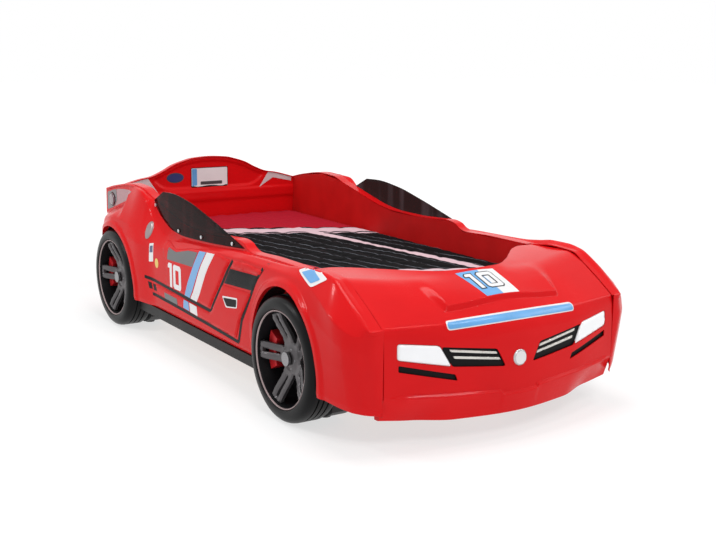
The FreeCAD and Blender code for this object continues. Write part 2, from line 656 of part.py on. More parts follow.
# ---------------------------------------------------------------- wheels
WHEEL_WIDTH = size("wheel_stand") - FIT
RIM = AXLE_Z - size("tyre_wall")
BARREL = RIM - 8


def turned(label, profile, side, axle):
    """A piece turned about the wheel's axis: profile is (depth from the outer face, radius)."""
    body = new_body(label)
    sketch = new_sketch(body, label + "Profile", "XY", [[(-depth, radius) for depth, radius in profile]])
    spin = body.newObject("PartDesign::Revolution", label + "Turn")
    spin.Profile = sketch
    spin.ReferenceAxis = (sketch, ["H_Axis"])
    spin.Angle = 360
    if side < 0:
        body.Placement = Placement(Vector(), Rotation(Vector(0, 0, 1), 180))
    sign = "" if side > 0 else "-"
    axle_name = "-Sizes.front_axle" if axle < 0 else "Sizes.rear_axle"
    body.setExpression("Placement.Base.x", f"{sign}({PANEL_X} + Sizes.wheel_stand)")
    body.setExpression("Placement.Base.y", axle_name)
    body.setExpression("Placement.Base.z", "Sizes.tyre_radius")
    return body


tyre_outside = size("tyre_radius")
tyre_profile = [
    (2, RIM + FIT), (0, RIM + 7), (0, tyre_outside - 19), (6, tyre_outside - 7), (16, tyre_outside - 1),
    (26, tyre_outside), (WHEEL_WIDTH - 14, tyre_outside), (WHEEL_WIDTH - 4, tyre_outside - 7),
    (WHEEL_WIDTH, tyre_outside - 19), (WHEEL_WIDTH, BARREL + FIT), (40, BARREL + FIT), (RIM_SINK, RIM + FIT),
]
rim_profile = [
    (RIM_SINK, BOLT_HOLE), (RIM_SINK, size("hub_radius")), (WHEEL_WIDTH - 8, size("hub_radius")),
    (WHEEL_WIDTH - 8, BARREL - 8), (14, BARREL - 8), (3, BARREL - 2), (3, RIM), (32, RIM),
    (38, BARREL), (WHEEL_WIDTH, BARREL), (WHEEL_WIDTH, BOLT_HOLE),
]
SPOKE_DEPTH = 24
SPOKE_START = 36
for side_name, side in SIDES:
    for end_name, axle in WHEELS:
        corner = f"{end_name}_{side_name}"
        finished.append(turned(corner + "_tyre", tyre_profile, side, axle))
        rim = turned(corner + "_rim", rim_profile, side, axle)
        spoke_sketch = new_sketch(rim, corner + "Spoke", "YZ", [
            [(side * 28, step * 4), (side * (BARREL - 5), step * 10),
             (side * (BARREL - 5), step * (10 + size("spoke_width"))), (side * 28, step * 16)]
            for step in (-1, 1)])
        spoke_sketch.AttachmentOffset = Placement(Vector(0, 0, -SPOKE_START), Rotation())
        spoke = rim.newObject("PartDesign::Pad", corner + "SpokePad")
        spoke.Profile = spoke_sketch
        spoke.Length = SPOKE_DEPTH
        spokes = rim.newObject("PartDesign::PolarPattern", corner + "Spokes")
        spokes.Originals = [spoke]
        axis = [item for item in rim.Origin.OriginFeatures if item.Role == "X_Axis"][0]
        spokes.Axis = (axis, [""])
        spokes.Angle = 360
        spokes.setExpression("Occurrences", "Sizes.spoke_count")
        rim.Tip = spokes
        finished.append(rim)

caps = []
calipers = []
for side_name, side in SIDES:
    for end_name, axle in WHEELS:
        caps.append(x_cylinder(size("cap_radius"), side * RIM_FACE, side * (RIM_FACE + 9), axle, AXLE_Z))
        sector = arc_points((axle, AXLE_Z), BARREL - 14, -28, 28)
        sector += arc_points((axle, AXLE_Z), BARREL - 60, 28, -28)
        behind_spokes = WHEEL_FACE - SPOKE_START - 8
        calipers.append(x_prism(sector, side * (WHEEL_FACE - WHEEL_WIDTH + 8), side * behind_spokes))
finished.append(add_shape("wheel_caps", Part.makeCompound(caps)))
finished.append(add_shape("brake_calipers", Part.makeCompound(calipers)))

# ---------------------------------------------------------------- shells
LENS = [
    (PANEL_OUT - 44, LEDGE - 157), (PANEL_OUT - 181, LEDGE - 174),
    (PANEL_OUT - 219, LEDGE - 241), (PANEL_OUT - 43, LEDGE - 207),
]
GRILLE = [
    (PANEL_OUT - 186, LEDGE - 178), (89, LEDGE - 205), (56, LEDGE - 265), (PANEL_OUT - 223, LEDGE - 243),
]
GRILLE_BARS = [
    [(PANEL_OUT - 216, LEDGE - 189), (92, LEDGE - 214), (87, LEDGE - 222), (PANEL_OUT - 220, LEDGE - 197)],
    [(PANEL_OUT - 228, LEDGE - 211), (80, LEDGE - 234), (75, LEDGE - 242), (PANEL_OUT - 232, LEDGE - 219)],
]
AIR_SLOT = [
    (PANEL_OUT - 46, LEDGE - 224), (PANEL_OUT - 234, LEDGE - 269),
    (PANEL_OUT - 242, LEDGE - 289), (PANEL_OUT - 46, LEDGE - 244),
]
TRIM_START = NOSE - 30
TRIM_END = NOSE + 160


def on_side(corners, side):
    return [(side * x, z) for x, z in corners]


def nose_trim(corners, outward, inward):
    """A piece that follows the nose between two depths."""
    return nose_band(outward, inward).common(y_prism(corners, TRIM_START, TRIM_END))


bands = {}


def nose_band(outward, inward):
    if (outward, inward) not in bands:
        bands[(outward, inward)] = nose_skin(outward, inward)
    return bands[(outward, inward)]


front_shell = nose_skin(0, SKIN)
for side_name, side in SIDES:
    for corners in (LENS, GRILLE, AIR_SLOT):
        hole = grown(on_side(corners, side), FIT)
        front_shell = front_shell.cut(y_prism(hole, TRIM_START, TRIM_END))
finished.append(add_shape("front_shell", front_shell))

INLET_X = -300
INLET_Z = HEM - 16
INLET_RADIUS = 9
INLET_BACK = TAIL - 22
inlet_hole = Part.makeCylinder(INLET_RADIUS + FIT, 40, Vector(INLET_X, INLET_BACK, INLET_Z), Vector(0, 1, 0))
tail_shell = tail_skin().cut(inlet_hole)
finished.append(add_shape("tail_shell", tail_shell))

shell = side_skin(0, SKIN)
shell = shell.fuse(side_cap(STATIONS[0], SKIN)).fuse(side_cap(STATIONS[-1], -SKIN))
for axle, radius in ((FRONT, FRONT_ARCH), (REAR, REAR_ARCH)):
    shell = shell.cut(x_cylinder(radius, PANEL_OUT + 1, WING + 60, axle, AXLE_Z))
for side_name, side in SIDES:
    finished.append(add_shape(side_name + "_side_shell", mirrored(shell, side)))

for side_name, side in SIDES:
    door_x = f"({PANEL_X} + Sizes.door_stand)"
    sill_x = door_x + " - Sizes.sill_depth" if side > 0 else "-" + door_x
    sill_length = ("Sizes.front_axle + Sizes.rear_axle - 2 * Sizes.tyre_radius"
                   " - Sizes.front_arch_gap - Sizes.rear_arch_gap")
    sill_corner = [sill_x, "Sizes.tyre_radius + Sizes.front_arch_gap - Sizes.front_axle",
                   "Sizes.hem_line - Sizes.sill_height - Sizes.fit"]
    finished.append(block(side_name + "_sill",
                          ["Sizes.sill_depth", sill_length, "Sizes.sill_height"], sill_corner))

pane_outline = PANE_LOW[:-1] + PANE_TOP
PANE_X = RIDGE_X + size("pane_gap")
SCREWS = [
    (PANE_REAR - 21, LEDGE + 62), (PANE_REAR - 250, LEDGE - 14),
    (PANE_REAR - 462, LEDGE - 8), (TIP + 90, LEDGE + 8),
]
screw_holes = [(y, z, size("screw_radius") + FIT) for y, z in SCREWS]
screws = []
for side_name, side in SIDES:
    pane_x = "Sizes.well_width / 2 + Sizes.ridge_width + Sizes.pane_gap"
    if side < 0:
        pane_x = "-Sizes.well_width / 2 - Sizes.ridge_width - Sizes.pane_gap - Sizes.pane"
    pane_loops = [pane_outline] + screw_holes
    finished.append(board_part(side_name + "_window", "YZ", pane_loops, "Sizes.pane", [pane_x]))
    for y, z in SCREWS:
        outside = PANE_X + size("pane")
        shaft = x_cylinder(size("screw_radius"), side * (RIDGE_X + 1.1), side * outside, y, z)
        head = x_cylinder(size("screw_head_radius"), side * outside, side * (outside + 3), y, z)
        screws.append(shaft.fuse(head).removeSplitter())
finished.append(add_shape("window_screws", Part.makeCompound(screws)))

# ---------------------------------------------------------------- lamps and trim of the nose
LAMP_BACK = NOSE + size("housing_depth")
LAMP_WALL = 3
LED_THICKNESS = 2
TRIM_SINK = 2
TRIM_DEPTH = 6
for side_name, side in SIDES:
    lens_corners = on_side(LENS, side)
    finished.append(add_shape(side_name + "_headlamp_lens", nose_trim(lens_corners, 1, size("lens") - 1)))
    before_lens = y_prism(grown(lens_corners, 2), TRIM_START, TRIM_END).common(
        nose_band(60, size("lens") + FIT))
    housing = y_prism(grown(lens_corners, -1), NOSE + 20, LAMP_BACK).cut(before_lens)
    housing = housing.cut(y_prism(grown(lens_corners, -1 - LAMP_WALL), TRIM_START, LAMP_BACK - LAMP_WALL))
    finished.append(add_shape(side_name + "_headlamp_housing", housing))
    led_back = LAMP_BACK - LAMP_WALL - LED_THICKNESS
    led_board = y_prism(grown(lens_corners, -9), led_back - LED_THICKNESS, led_back)
    finished.append(add_shape(side_name + "_led_board", led_board))
    grille = nose_trim(on_side(GRILLE, side), -TRIM_SINK, TRIM_DEPTH)
    for bar in GRILLE_BARS:
        grille = grille.fuse(nose_trim(on_side(bar, side), 0.5, TRIM_SINK + 1))
    finished.append(add_shape(side_name + "_grille", grille))
    slot = nose_trim(on_side(AIR_SLOT, side), -TRIM_SINK, TRIM_DEPTH)
    finished.append(add_shape(side_name + "_air_slot", slot))

BADGE_RADIUS = 27
BADGE_Z = LEDGE - 244
badge_disc = Part.makeCylinder(BADGE_RADIUS, 60, Vector(0, NOSE - 20, BADGE_Z), Vector(0, 1, 0))
finished.append(add_shape("nose_badge", nose_band(3, -FIT).common(badge_disc)))

TAIL_LAMP = (TAIL - 86, LEDGE + 28, 31)
FUEL_CAP = (PANE_REAR - 40, LEDGE - 38, 24, 36)
side_band = side_skin(3, -FIT)
lamp_y, lamp_z, lamp_radius = TAIL_LAMP
tail_lamp = side_band.common(x_cylinder(lamp_radius, HALF + 30, WING, lamp_y, lamp_z))
for side_name, side in SIDES:
    finished.append(add_shape(side_name + "_tail_lamp", mirrored(tail_lamp, side)))
cap_y, cap_z, cap_half_length, cap_half_height = FUEL_CAP
cap_oval = [(cap_y + cap_half_length * math.cos(turn * math.pi / 12),
             cap_z + cap_half_height * math.sin(turn * math.pi / 12)) for turn in range(24)]
finished.append(add_shape("fuel_cap", mirrored(side_band.common(x_prism(cap_oval, HALF + 30, WING + 30)), -1)))

# ---------------------------------------------------------------- light control, inlet and leads
BOX_DEPTH = 26
BOX_LENGTH = 80
BOX_HEIGHT = 60
BOX_FACE = PANEL_OUT + FIT
BOX_FRONT = CONTROL_Y - BOX_LENGTH / 2
SNOUT_OUT = HALF - 2
SNOUT_W = ROCKER_W + 2 * SNOUT_WALL
SNOUT_H = ROCKER_H + 2 * SNOUT_WALL
MOUTH_W = ROCKER_W + 2 * size("rocker_gap")
MOUTH_H = ROCKER_H + 2 * size("rocker_gap")
ROCKER_X = HALF + 6
ROCKER_DEPTH = 12
ROCKER_PROUD = 8
ROCKER_THROW = 10
PIN_RADIUS = 1.5
PIN_REACH = 2


def y_cylinder(radius, x, z, length, centre_y):
    return Part.makeCylinder(radius, length, Vector(x, centre_y - length / 2, z), Vector(0, 1, 0))


control = Part.makeBox(BOX_DEPTH, BOX_LENGTH, BOX_HEIGHT,
                       Vector(-BOX_FACE - BOX_DEPTH, BOX_FRONT, CONTROL_Z - BOX_HEIGHT / 2))
snout = Part.makeBox(BOX_FACE - SNOUT_OUT + 1, SNOUT_W, SNOUT_H,
                     Vector(-BOX_FACE - 1, CONTROL_Y - SNOUT_W / 2, CONTROL_Z - SNOUT_H / 2))
mouth = Part.makeBox(BOX_FACE - SNOUT_OUT + 12, MOUTH_W, MOUTH_H,
                     Vector(-BOX_FACE - 6, CONTROL_Y - MOUTH_W / 2, CONTROL_Z - MOUTH_H / 2))
pin_seat = y_cylinder(PIN_RADIUS + 0.2, -ROCKER_X, CONTROL_Z, MOUTH_W + 2 * PIN_REACH, CONTROL_Y)
control_box = control.fuse(snout).removeSplitter().cut(mouth).cut(pin_seat)
finished.append(add_shape("light_control_box", control_box))
rocker = Part.makeBox(ROCKER_DEPTH, ROCKER_W, ROCKER_H,
                      Vector(-ROCKER_X + ROCKER_PROUD - ROCKER_DEPTH, CONTROL_Y - ROCKER_W / 2,
                             CONTROL_Z - ROCKER_H / 2))
rocker.rotate(Vector(-ROCKER_X, CONTROL_Y, CONTROL_Z), Vector(0, 1, 0), -ROCKER_THROW / 2)
rocker = rocker.fuse(y_cylinder(PIN_RADIUS, -ROCKER_X, CONTROL_Z, MOUTH_W + 2 * PIN_REACH - 0.6, CONTROL_Y))
finished.append(add_shape("light_switch", rocker))

INLET_FLANGE = 3
inlet_length = TAIL - INLET_BACK
inlet_y = (TAIL + INLET_BACK) / 2
inlet = y_cylinder(INLET_RADIUS, INLET_X, INLET_Z, inlet_length, inlet_y)
flange_y = TAIL - SKIN - 0.2 - INLET_FLANGE / 2
inlet = inlet.fuse(y_cylinder(INLET_RADIUS + 5, INLET_X, INLET_Z, INLET_FLANGE, flange_y))
inlet = inlet.cut(y_cylinder(3, INLET_X, INLET_Z, 20, TAIL))
finished.append(add_shape("power_inlet", inlet))


def lead(label, points):
    """Round lead along straight runs joined by tangent arcs."""
    points = [Vector(*point) for point in points]
    edges = []
    radii = []
    start = points[0]
    for before, corner, after in zip(points, points[1:], points[2:]):
        run_in = (corner - before).normalize()
        run_out = (after - corner).normalize()
        turn = run_in.getAngle(run_out)
        shorter = min((corner - before).Length, (after - corner).Length)
        reach = min(0.45 * shorter, 60)
        radii.append(reach / math.tan(turn / 2))
        arc_start = corner - run_in * reach
        arc_end = corner + run_out * reach
        toward = (run_out - run_in).normalize()
        middle = corner + toward * (radii[-1] / math.cos(turn / 2) - radii[-1])
        edges.append(Part.LineSegment(start, arc_start).toShape())
        edges.append(Part.Arc(arc_start, middle, arc_end).toShape())
        start = arc_end
    edges.append(Part.LineSegment(start, points[-1]).toShape())
    path = Part.Wire(edges)
    direction = (points[1] - points[0]).normalize()
    circle = Part.Circle(points[0], direction, size("lead_radius"))
    profile = Part.Wire([circle.toShape()])
    tube = path.makePipeShell([profile], True, False)
    expected = math.pi * size("lead_radius") ** 2 * path.Length
    print(f"{label}: length {path.Length:.0f} mm, least radius {min(radii):.1f} mm, "
          f"volume ratio {tube.Volume / expected:.4f}")
    return add_shape(label, tube)


NEAR_X = -(PANEL_OUT + 7)
FAR_X = -(PANEL_OUT + 14)
RUN_Z = LEDGE - 54
FRONT_RUN_Z = LEDGE - 34
BACK_RUN_Z = LEDGE - 42
LEAD_EXIT_Z = CONTROL_Z - 12
LAMP_X = PANEL_OUT - 128
LAMP_Z = LEDGE - 197
finished.append(lead("right_lamp_lead", [
    (NEAR_X, BOX_FRONT, LEAD_EXIT_Z), (NEAR_X, BOX_FRONT - 55, LEAD_EXIT_Z),
    (NEAR_X, BOX_FRONT - 190, RUN_Z), (NEAR_X, TIP - 130, RUN_Z), (NEAR_X, FRONT + 130, FRONT_RUN_Z),
    (NEAR_X, NOSE + 235, FRONT_RUN_Z), (NEAR_X + 45, NOSE + 175, LEDGE - 85),
    (-LAMP_X - 8, LAMP_BACK + 62, LEDGE - 165), (-LAMP_X, LAMP_BACK + 42, LAMP_Z), (-LAMP_X, LAMP_BACK, LAMP_Z),
]))
finished.append(lead("left_lamp_lead", [
    (FAR_X, BOX_FRONT, LEAD_EXIT_Z), (FAR_X, BOX_FRONT - 55, LEAD_EXIT_Z),
    (FAR_X, BOX_FRONT - 190, RUN_Z), (FAR_X, TIP - 130, RUN_Z), (FAR_X, FRONT + 130, FRONT_RUN_Z),
    (FAR_X, NOSE + 245, FRONT_RUN_Z), (NEAR_X + 25, NOSE + 195, LEDGE - 75),
    (-HALF + 160, NOSE + 225, LEDGE - 112), (HALF - 230, NOSE + 225, LEDGE - 112),
    (LAMP_X - 12, NOSE + 180, LEDGE - 160), (LAMP_X, LAMP_BACK + 42, LAMP_Z), (LAMP_X, LAMP_BACK, LAMP_Z),
]))
finished.append(lead("power_lead", [
    (INLET_X, INLET_BACK, INLET_Z), (INLET_X, INLET_BACK - 30, INLET_Z),
    (INLET_X - 35, INLET_BACK - 52, INLET_Z), (-HALF + 55, TAIL - 62, INLET_Z - 2),
    (FAR_X, TAIL - 32, INLET_Z + 6), (FAR_X, TAIL - 27, INLET_Z + 70), (FAR_X, TAIL - 24, LEDGE - 90),
    (FAR_X, TAIL - 75, BACK_RUN_Z), (FAR_X, CONTROL_Y + 190, BACK_RUN_Z),
    (FAR_X, CONTROL_Y + 95, CONTROL_Z - 15), (FAR_X, BOX_FRONT + BOX_LENGTH, CONTROL_Z - 15),
]))

CLIP_REACH = 18.5
CLIP_LENGTH = 12
CLIP_HEIGHT = 15
CLIP_STATIONS = (PANE_REAR - 100, PANE_REAR - 350, PANE_REAR - 600, TIP - 70)
clips = []
for station in CLIP_STATIONS:
    clip = Part.makeBox(CLIP_REACH, CLIP_LENGTH, CLIP_HEIGHT,
                        Vector(-PANEL_OUT - CLIP_REACH, station - CLIP_LENGTH / 2, RUN_Z - CLIP_HEIGHT / 2))
    for x in (NEAR_X, FAR_X):
        clip = clip.cut(y_cylinder(size("lead_radius") + 0.2, x, RUN_Z, 2 * CLIP_LENGTH, station))
    clips.append(clip)
finished.append(add_shape("harness_clips", Part.makeCompound(clips)))

# ---------------------------------------------------------------- mattress and bedspread
mattress_half = HALF - size("mattress_gap")
mattress_front = FOOT + size("mattress_end_gap")
mattress_rear = HEAD - size("mattress_end_gap")
MATTRESS_TOP = BASE_TOP + size("mattress_height")


def cushion_outline(half, low, high, draw, rise):
    """Cross-section of a soft slab: sides drawn in at mid height, top with a crown."""
    middle = (low + high) / 2
    return [
        (-half + 8, low), (half - 8, low), (half, low + 10), (half - draw, middle), (half, high - 12),
        (half - 10, high), (half / 2, high + rise * 0.75), (0, high + rise),
        (-half / 2, high + rise * 0.75), (-half + 10, high), (-half, high - 12), (-half + draw, middle),
        (-half, low + 10),
    ]


def slab(outline_at, stations):
    wires = [closed_wire([Vector(x, y, z) for x, z in outline_at(y)]) for y in stations]
    return Part.makeLoft(wires, True, True)


def mattress_outline(y):
    end = min(y - mattress_front, mattress_rear - y)
    shrink = 5 if end < 1 else 0
    return cushion_outline(mattress_half - shrink, BASE_TOP, MATTRESS_TOP - shrink, 3, 0)


mattress_stations = [mattress_front, mattress_front + 12, mattress_rear - 12, mattress_rear]
finished.append(add_shape("mattress", slab(mattress_outline, mattress_stations)))

SPREAD = size("spread_thickness")
SOFT = size("soft_gap")
spread_bottom = MATTRESS_TOP - size("spread_drop")
outer_half = mattress_half + SOFT + SPREAD
SPREAD_TOP = MATTRESS_TOP + SOFT + SPREAD
CROWN = size("crown_rise")


def spread_outline(y):
    end = min(y - mattress_front, mattress_rear - y) / (2 * SPREAD_RISE)
    rise = CROWN * min(max(end, 0), 1)
    return [
        (-outer_half, spread_bottom), (outer_half, spread_bottom), (outer_half - 1, SPREAD_TOP - 10),
        (outer_half - 9, SPREAD_TOP), (outer_half * 0.66, SPREAD_TOP + rise * 0.6),
        (outer_half * 0.33, SPREAD_TOP + rise * 0.9), (0, SPREAD_TOP + rise),
        (-outer_half * 0.33, SPREAD_TOP + rise * 0.9), (-outer_half * 0.66, SPREAD_TOP + rise * 0.6),
        (-outer_half + 9, SPREAD_TOP), (-outer_half + 1, SPREAD_TOP - 10),
    ]


spread_front = mattress_front - SOFT - SPREAD
spread_rear = mattress_rear + SOFT + SPREAD
SPREAD_RISE = 130
spread_stations = [
    spread_front, spread_front + SPREAD_RISE, (FOOT + HEAD) / 2, spread_rear - SPREAD_RISE, spread_rear,
]
spread = slab(spread_outline, spread_stations)
hollow = Part.makeBox(2 * (mattress_half + SOFT), mattress_rear - mattress_front + 2 * SOFT,
                      MATTRESS_TOP + SOFT - spread_bottom + 10,
                      Vector(-mattress_half - SOFT, mattress_front - SOFT, spread_bottom - 10))
finished.append(add_shape("bedspread", spread.cut(hollow)))

# ---------------------------------------------------------------- check and write
doc.recompute()
for item in doc.Objects:
    for state in item.State:
        if state in ("Invalid", "Error"):
            raise RuntimeError(f"{item.Label} failed to build: {item.State}")
os.makedirs("parts", exist_ok=True)
for item in finished:
    shape = item.Shape
    if shape.isNull() or not shape.isValid() or not shape.Solids:
        raise RuntimeError(f"{item.Label} has no valid solid")
    shape.exportStep(f"parts/{item.Label}.step")
box = Part.makeCompound([item.Shape for item in finished]).BoundBox
print(f"{len(finished)} sub-parts")
print(f"X {box.XMin:.1f} {box.XMax:.1f}  Y {box.YMin:.1f} {box.YMax:.1f}  Z {box.ZMin:.1f} {box.ZMax:.1f}")
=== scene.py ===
from math import acos, asin, atan2, cos, hypot, pi, radians, sin, sqrt, tan

import bmesh
import bpy
import numpy as np
from mathutils import Matrix, Vector
from mathutils.bvhtree import BVHTree
from mathutils.geometry import delaunay_2d_cdt


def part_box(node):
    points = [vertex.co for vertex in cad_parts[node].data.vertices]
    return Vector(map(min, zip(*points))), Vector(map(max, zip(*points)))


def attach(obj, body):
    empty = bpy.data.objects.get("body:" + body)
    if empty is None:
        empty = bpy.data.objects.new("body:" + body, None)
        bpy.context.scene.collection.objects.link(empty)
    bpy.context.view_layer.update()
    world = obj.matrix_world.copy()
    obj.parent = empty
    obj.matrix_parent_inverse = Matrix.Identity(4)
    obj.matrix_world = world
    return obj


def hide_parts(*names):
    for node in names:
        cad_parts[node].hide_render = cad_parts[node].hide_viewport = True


# Looks of a child's bed in the form of a racing car. Sizes are in millimetres, as in the
# construction; meshes are written in metres. The nose points to -Y, the floor is Z = 0.

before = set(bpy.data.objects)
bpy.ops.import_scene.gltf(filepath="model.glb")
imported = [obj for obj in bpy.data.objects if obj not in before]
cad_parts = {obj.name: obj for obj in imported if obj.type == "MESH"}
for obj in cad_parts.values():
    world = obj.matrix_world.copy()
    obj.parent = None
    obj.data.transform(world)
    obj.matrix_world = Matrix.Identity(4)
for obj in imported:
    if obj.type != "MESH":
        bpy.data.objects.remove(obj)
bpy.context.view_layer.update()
MM = 0.001

# ---- driving dimensions
FRONT, REAR = -627.0, 899.0
NOSE, TAIL = FRONT - 526, REAR + 254
TIP, PANE_REAR = -218.0, 599.0
HALF = 460.0
PANEL_OUT = HALF + 18
HEAD = TAIL - 40
SEAM = 3
SKIN = 4
LEDGE = 512.0
PILLAR = LEDGE + 121
ARCH_TOP = PILLAR + 76
WAIST, HEM = 276.0, 156.0
NOSE_BOTTOM = 90.0
DOOR, WING, QUARTER = PANEL_OUT + 72, PANEL_OUT + 111, PANEL_OUT + 106
AXLE_Z = 215.0
TYRE_FACE = PANEL_OUT + 113
FRONT_ARCH, REAR_ARCH = AXLE_Z + 30, AXLE_Z + 15
RIDGE_X = HALF + 40
CREST_X = RIDGE_X + 27
LIP_X = RIDGE_X + 8
SIDES = (("left", 1), ("right", -1))


# ---- curves and meshes
class Line:
    """Smooth line through (station, value) pairs, with no overshoot between them."""

    def __init__(self, pairs):
        self.x = np.array([p[0] for p in pairs], float)
        self.y = np.array([p[1] for p in pairs], float)
        h = np.diff(self.x)
        d = np.diff(self.y) / h
        slope = np.zeros(len(self.x))
        slope[0], slope[-1] = d[0], d[-1]
        for i in range(1, len(d)):
            if d[i - 1] * d[i] > 0:
                w1, w2 = 2 * h[i] + h[i - 1], h[i] + 2 * h[i - 1]
                slope[i] = (w1 + w2) / (w1 / d[i - 1] + w2 / d[i])
        self.slope = slope

    def __call__(self, x):
        x = min(max(x, self.x[0]), self.x[-1])
        i = min(max(int(np.searchsorted(self.x, x)) - 1, 0), len(self.x) - 2)
        h = self.x[i + 1] - self.x[i]
        t = (x - self.x[i]) / h
        a = (1 + 2 * t) * (1 - t) ** 2
        b = t * (1 - t) ** 2
        c = t * t * (3 - 2 * t)
        e = t * t * (t - 1)
        return a * self.y[i] + b * h * self.slope[i] + c * self.y[i + 1] + e * h * self.slope[i + 1]


def pairs(loop):
    """Every point of a closed outline with the next one."""
    return zip(loop, loop[1:] + loop[:1])


def smoothstep(low, high, value):
    t = min(max((value - low) / (high - low), 0.0), 1.0)
    return t * t * (3 - 2 * t)


def corner_curve(start, corner, end, shares):
    return [(1 - t) ** 2 * start + 2 * t * (1 - t) * corner + t * t * end for t in shares]


def rounded(corners, radii, counts, turns=5):
    """Open outline with its inner corners rounded, resampled to a fixed number of points."""
    points = [np.array(p, float) for p in corners]
    last = len(points) - 1
    cuts = [0.0] * len(points)
    for i in range(1, last):
        a, b = points[i] - points[i - 1], points[i + 1] - points[i]
        la, lb = np.linalg.norm(a), np.linalg.norm(b)
        if min(la, lb) < 1e-6:
            continue
        turn = acos(min(max(float(a @ b) / (la * lb), -1), 1))
        cuts[i] = min(radii[i] * tan(turn / 2) if turn < 3 else 1e9, 0.48 * la, 0.48 * lb)
    result = [points[0]]
    for i in range(1, len(points)):
        before, corner = points[i - 1], points[i]
        run = corner - before
        length = max(np.linalg.norm(run), 1e-9)
        start = before + run / length * cuts[i - 1]
        end = corner - run / length * cuts[i]
        result += [start + (end - start) * k / counts[i - 1] for k in range(1, counts[i - 1] + 1)]
        if i < last:
            after = points[i + 1] - corner
            exit_point = corner + after / max(np.linalg.norm(after), 1e-9) * cuts[i]
            result += corner_curve(end, corner, exit_point, [k / turns for k in range(1, turns + 1)])
    return result


def grid_faces(rows, columns, closed=False, looped=False):
    """Squares between grid points; closed joins the ends of each row, looped the last row to the first."""
    return [(i * columns + j, i * columns + (j + 1) % columns, (i + 1) % rows * columns + (j + 1) % columns,
             (i + 1) % rows * columns + j)
            for i in range(rows if looped else rows - 1) for j in range(columns if closed else columns - 1)]


def grid_border(rows, columns):
    """Row and column of every point round the edge of a grid."""
    return ([(i, 0) for i in range(rows)] + [(rows - 1, j) for j in range(1, columns)]
            + [(i, columns - 1) for i in range(rows - 2, -1, -1)]
            + [(0, j) for j in range(columns - 2, 0, -1)])


def linked(name, data):
    """Object with its data, in the scene."""
    thing = bpy.data.objects.new(name, data)
    bpy.context.scene.collection.objects.link(thing)
    return thing


def new_object(name, verts, faces):
    """Bare object from millimetre vertices."""
    mesh = bpy.data.meshes.new(name)
    mesh.from_pydata([(x * MM, y * MM, z * MM) for x, y, z in verts], [], faces)
    return linked(name, mesh)


def piece(name, verts, faces, material, body="bed", angle=40, slot=None, replaces=None, thickness=0.0):
    """Piece shaded smooth below the given edge angle; a skin gets its thickness on the inner side."""
    thing = new_object(name, verts, outward(verts, faces) if thickness else faces)
    thing.data.validate()
    if thickness:
        with_modifiers(thing, [("SOLIDIFY", {"thickness": thickness * MM, "offset": -1.0})])
    finish_mesh(thing, material, angle)
    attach(thing, body)
    if replaces:
        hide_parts(replaces)
    return thing


def cleaned(mesh, merge=None):
    """Points its faces outward; with a distance, first merges points that close together."""
    tidy = bmesh.new()
    tidy.from_mesh(mesh)
    if merge:
        bmesh.ops.remove_doubles(tidy, verts=tidy.verts, dist=merge)
        bmesh.ops.dissolve_degenerate(tidy, edges=tidy.edges, dist=merge)
    bmesh.ops.recalc_face_normals(tidy, faces=tidy.faces)
    tidy.to_mesh(mesh)
    tidy.free()


def finish_mesh(thing, material, angle=40):
    mesh = thing.data
    cleaned(mesh, 0.01 * MM)
    mesh.materials.clear()
    mesh.materials.append(material)
    mesh.polygons.foreach_set("use_smooth", [True] * len(mesh.polygons))
    mesh.set_sharp_from_angle(angle=radians(angle))
    mesh.update()


def with_modifiers(thing, settings):
    """Applies modifiers, given as (type, {property: value}), and keeps only the result."""
    for kind, values in settings:
        modifier = thing.modifiers.new(kind.title(), kind)
        for key, value in values.items():
            setattr(modifier, key, value)
    graph = bpy.context.evaluated_depsgraph_get()
    result = bpy.data.meshes.new_from_object(thing.evaluated_get(graph))
    thing.modifiers.clear()
    old, thing.data = thing.data, result
    bpy.data.meshes.remove(old)


def outward(verts, faces, centre=(0, 0, 300)):
    """The same faces, turned so that most of them point away from the middle of the bed."""
    total = 0.0
    for face in faces:
        a, b, c = (np.asarray(verts[i], float) for i in face[:3])
        total += float(np.cross(b - a, c - a) @ (a - np.array(centre)))
    return faces if total > 0 else [tuple(face[::-1]) for face in faces]


def slab(tops, lows, triangles):
    """Vertices and faces of a slab between two copies of one flat patch."""
    count = len(tops)
    edges = dict.fromkeys((a, b) for t in triangles for a, b in pairs(t))
    faces = list(triangles) + [tuple(i + count for i in reversed(t)) for t in triangles]
    return tops + lows, faces + [(b, a, a + count, b + count) for a, b in edges if (b, a) not in edges]


def tree_of(verts, faces):
    return BVHTree.FromPolygons([Vector(v) for v in verts], faces)


# ---- materials
def material_of(name):
    """New material, with its node tree and its shader."""
    material = bpy.data.materials.new(name)
    material.use_nodes = True
    tree = material.node_tree
    return material, tree, next(n for n in tree.nodes if n.type == "BSDF_PRINCIPLED")


def feed(tree, node, inputs):
    """Gives a node's inputs, which are numbers, colours or the outputs of other nodes."""
    for slot, value in inputs.items():
        if isinstance(value, bpy.types.NodeSocket):
            tree.links.new(value, node.inputs[slot])
        else:
            node.inputs[slot].default_value = value


def output(tree, kind, inputs, slot=0, **settings):
    """Output of a new node of the given kind."""
    node = tree.nodes.new("ShaderNode" + kind)
    for key, value in settings.items():
        setattr(node, key, value)
    feed(tree, node, inputs)
    return node.outputs[slot]


def object_coordinates(tree, scale=(1, 1, 1)):
    place = output(tree, "TexCoord", {}, "Object")
    return output(tree, "Mapping", {"Scale": scale, "Vector": place})


def split_axes(tree):
    """The object's own X, Y and Z in metres."""
    node = tree.nodes.new("ShaderNodeSeparateXYZ")
    feed(tree, node, {0: object_coordinates(tree)})
    return node.outputs


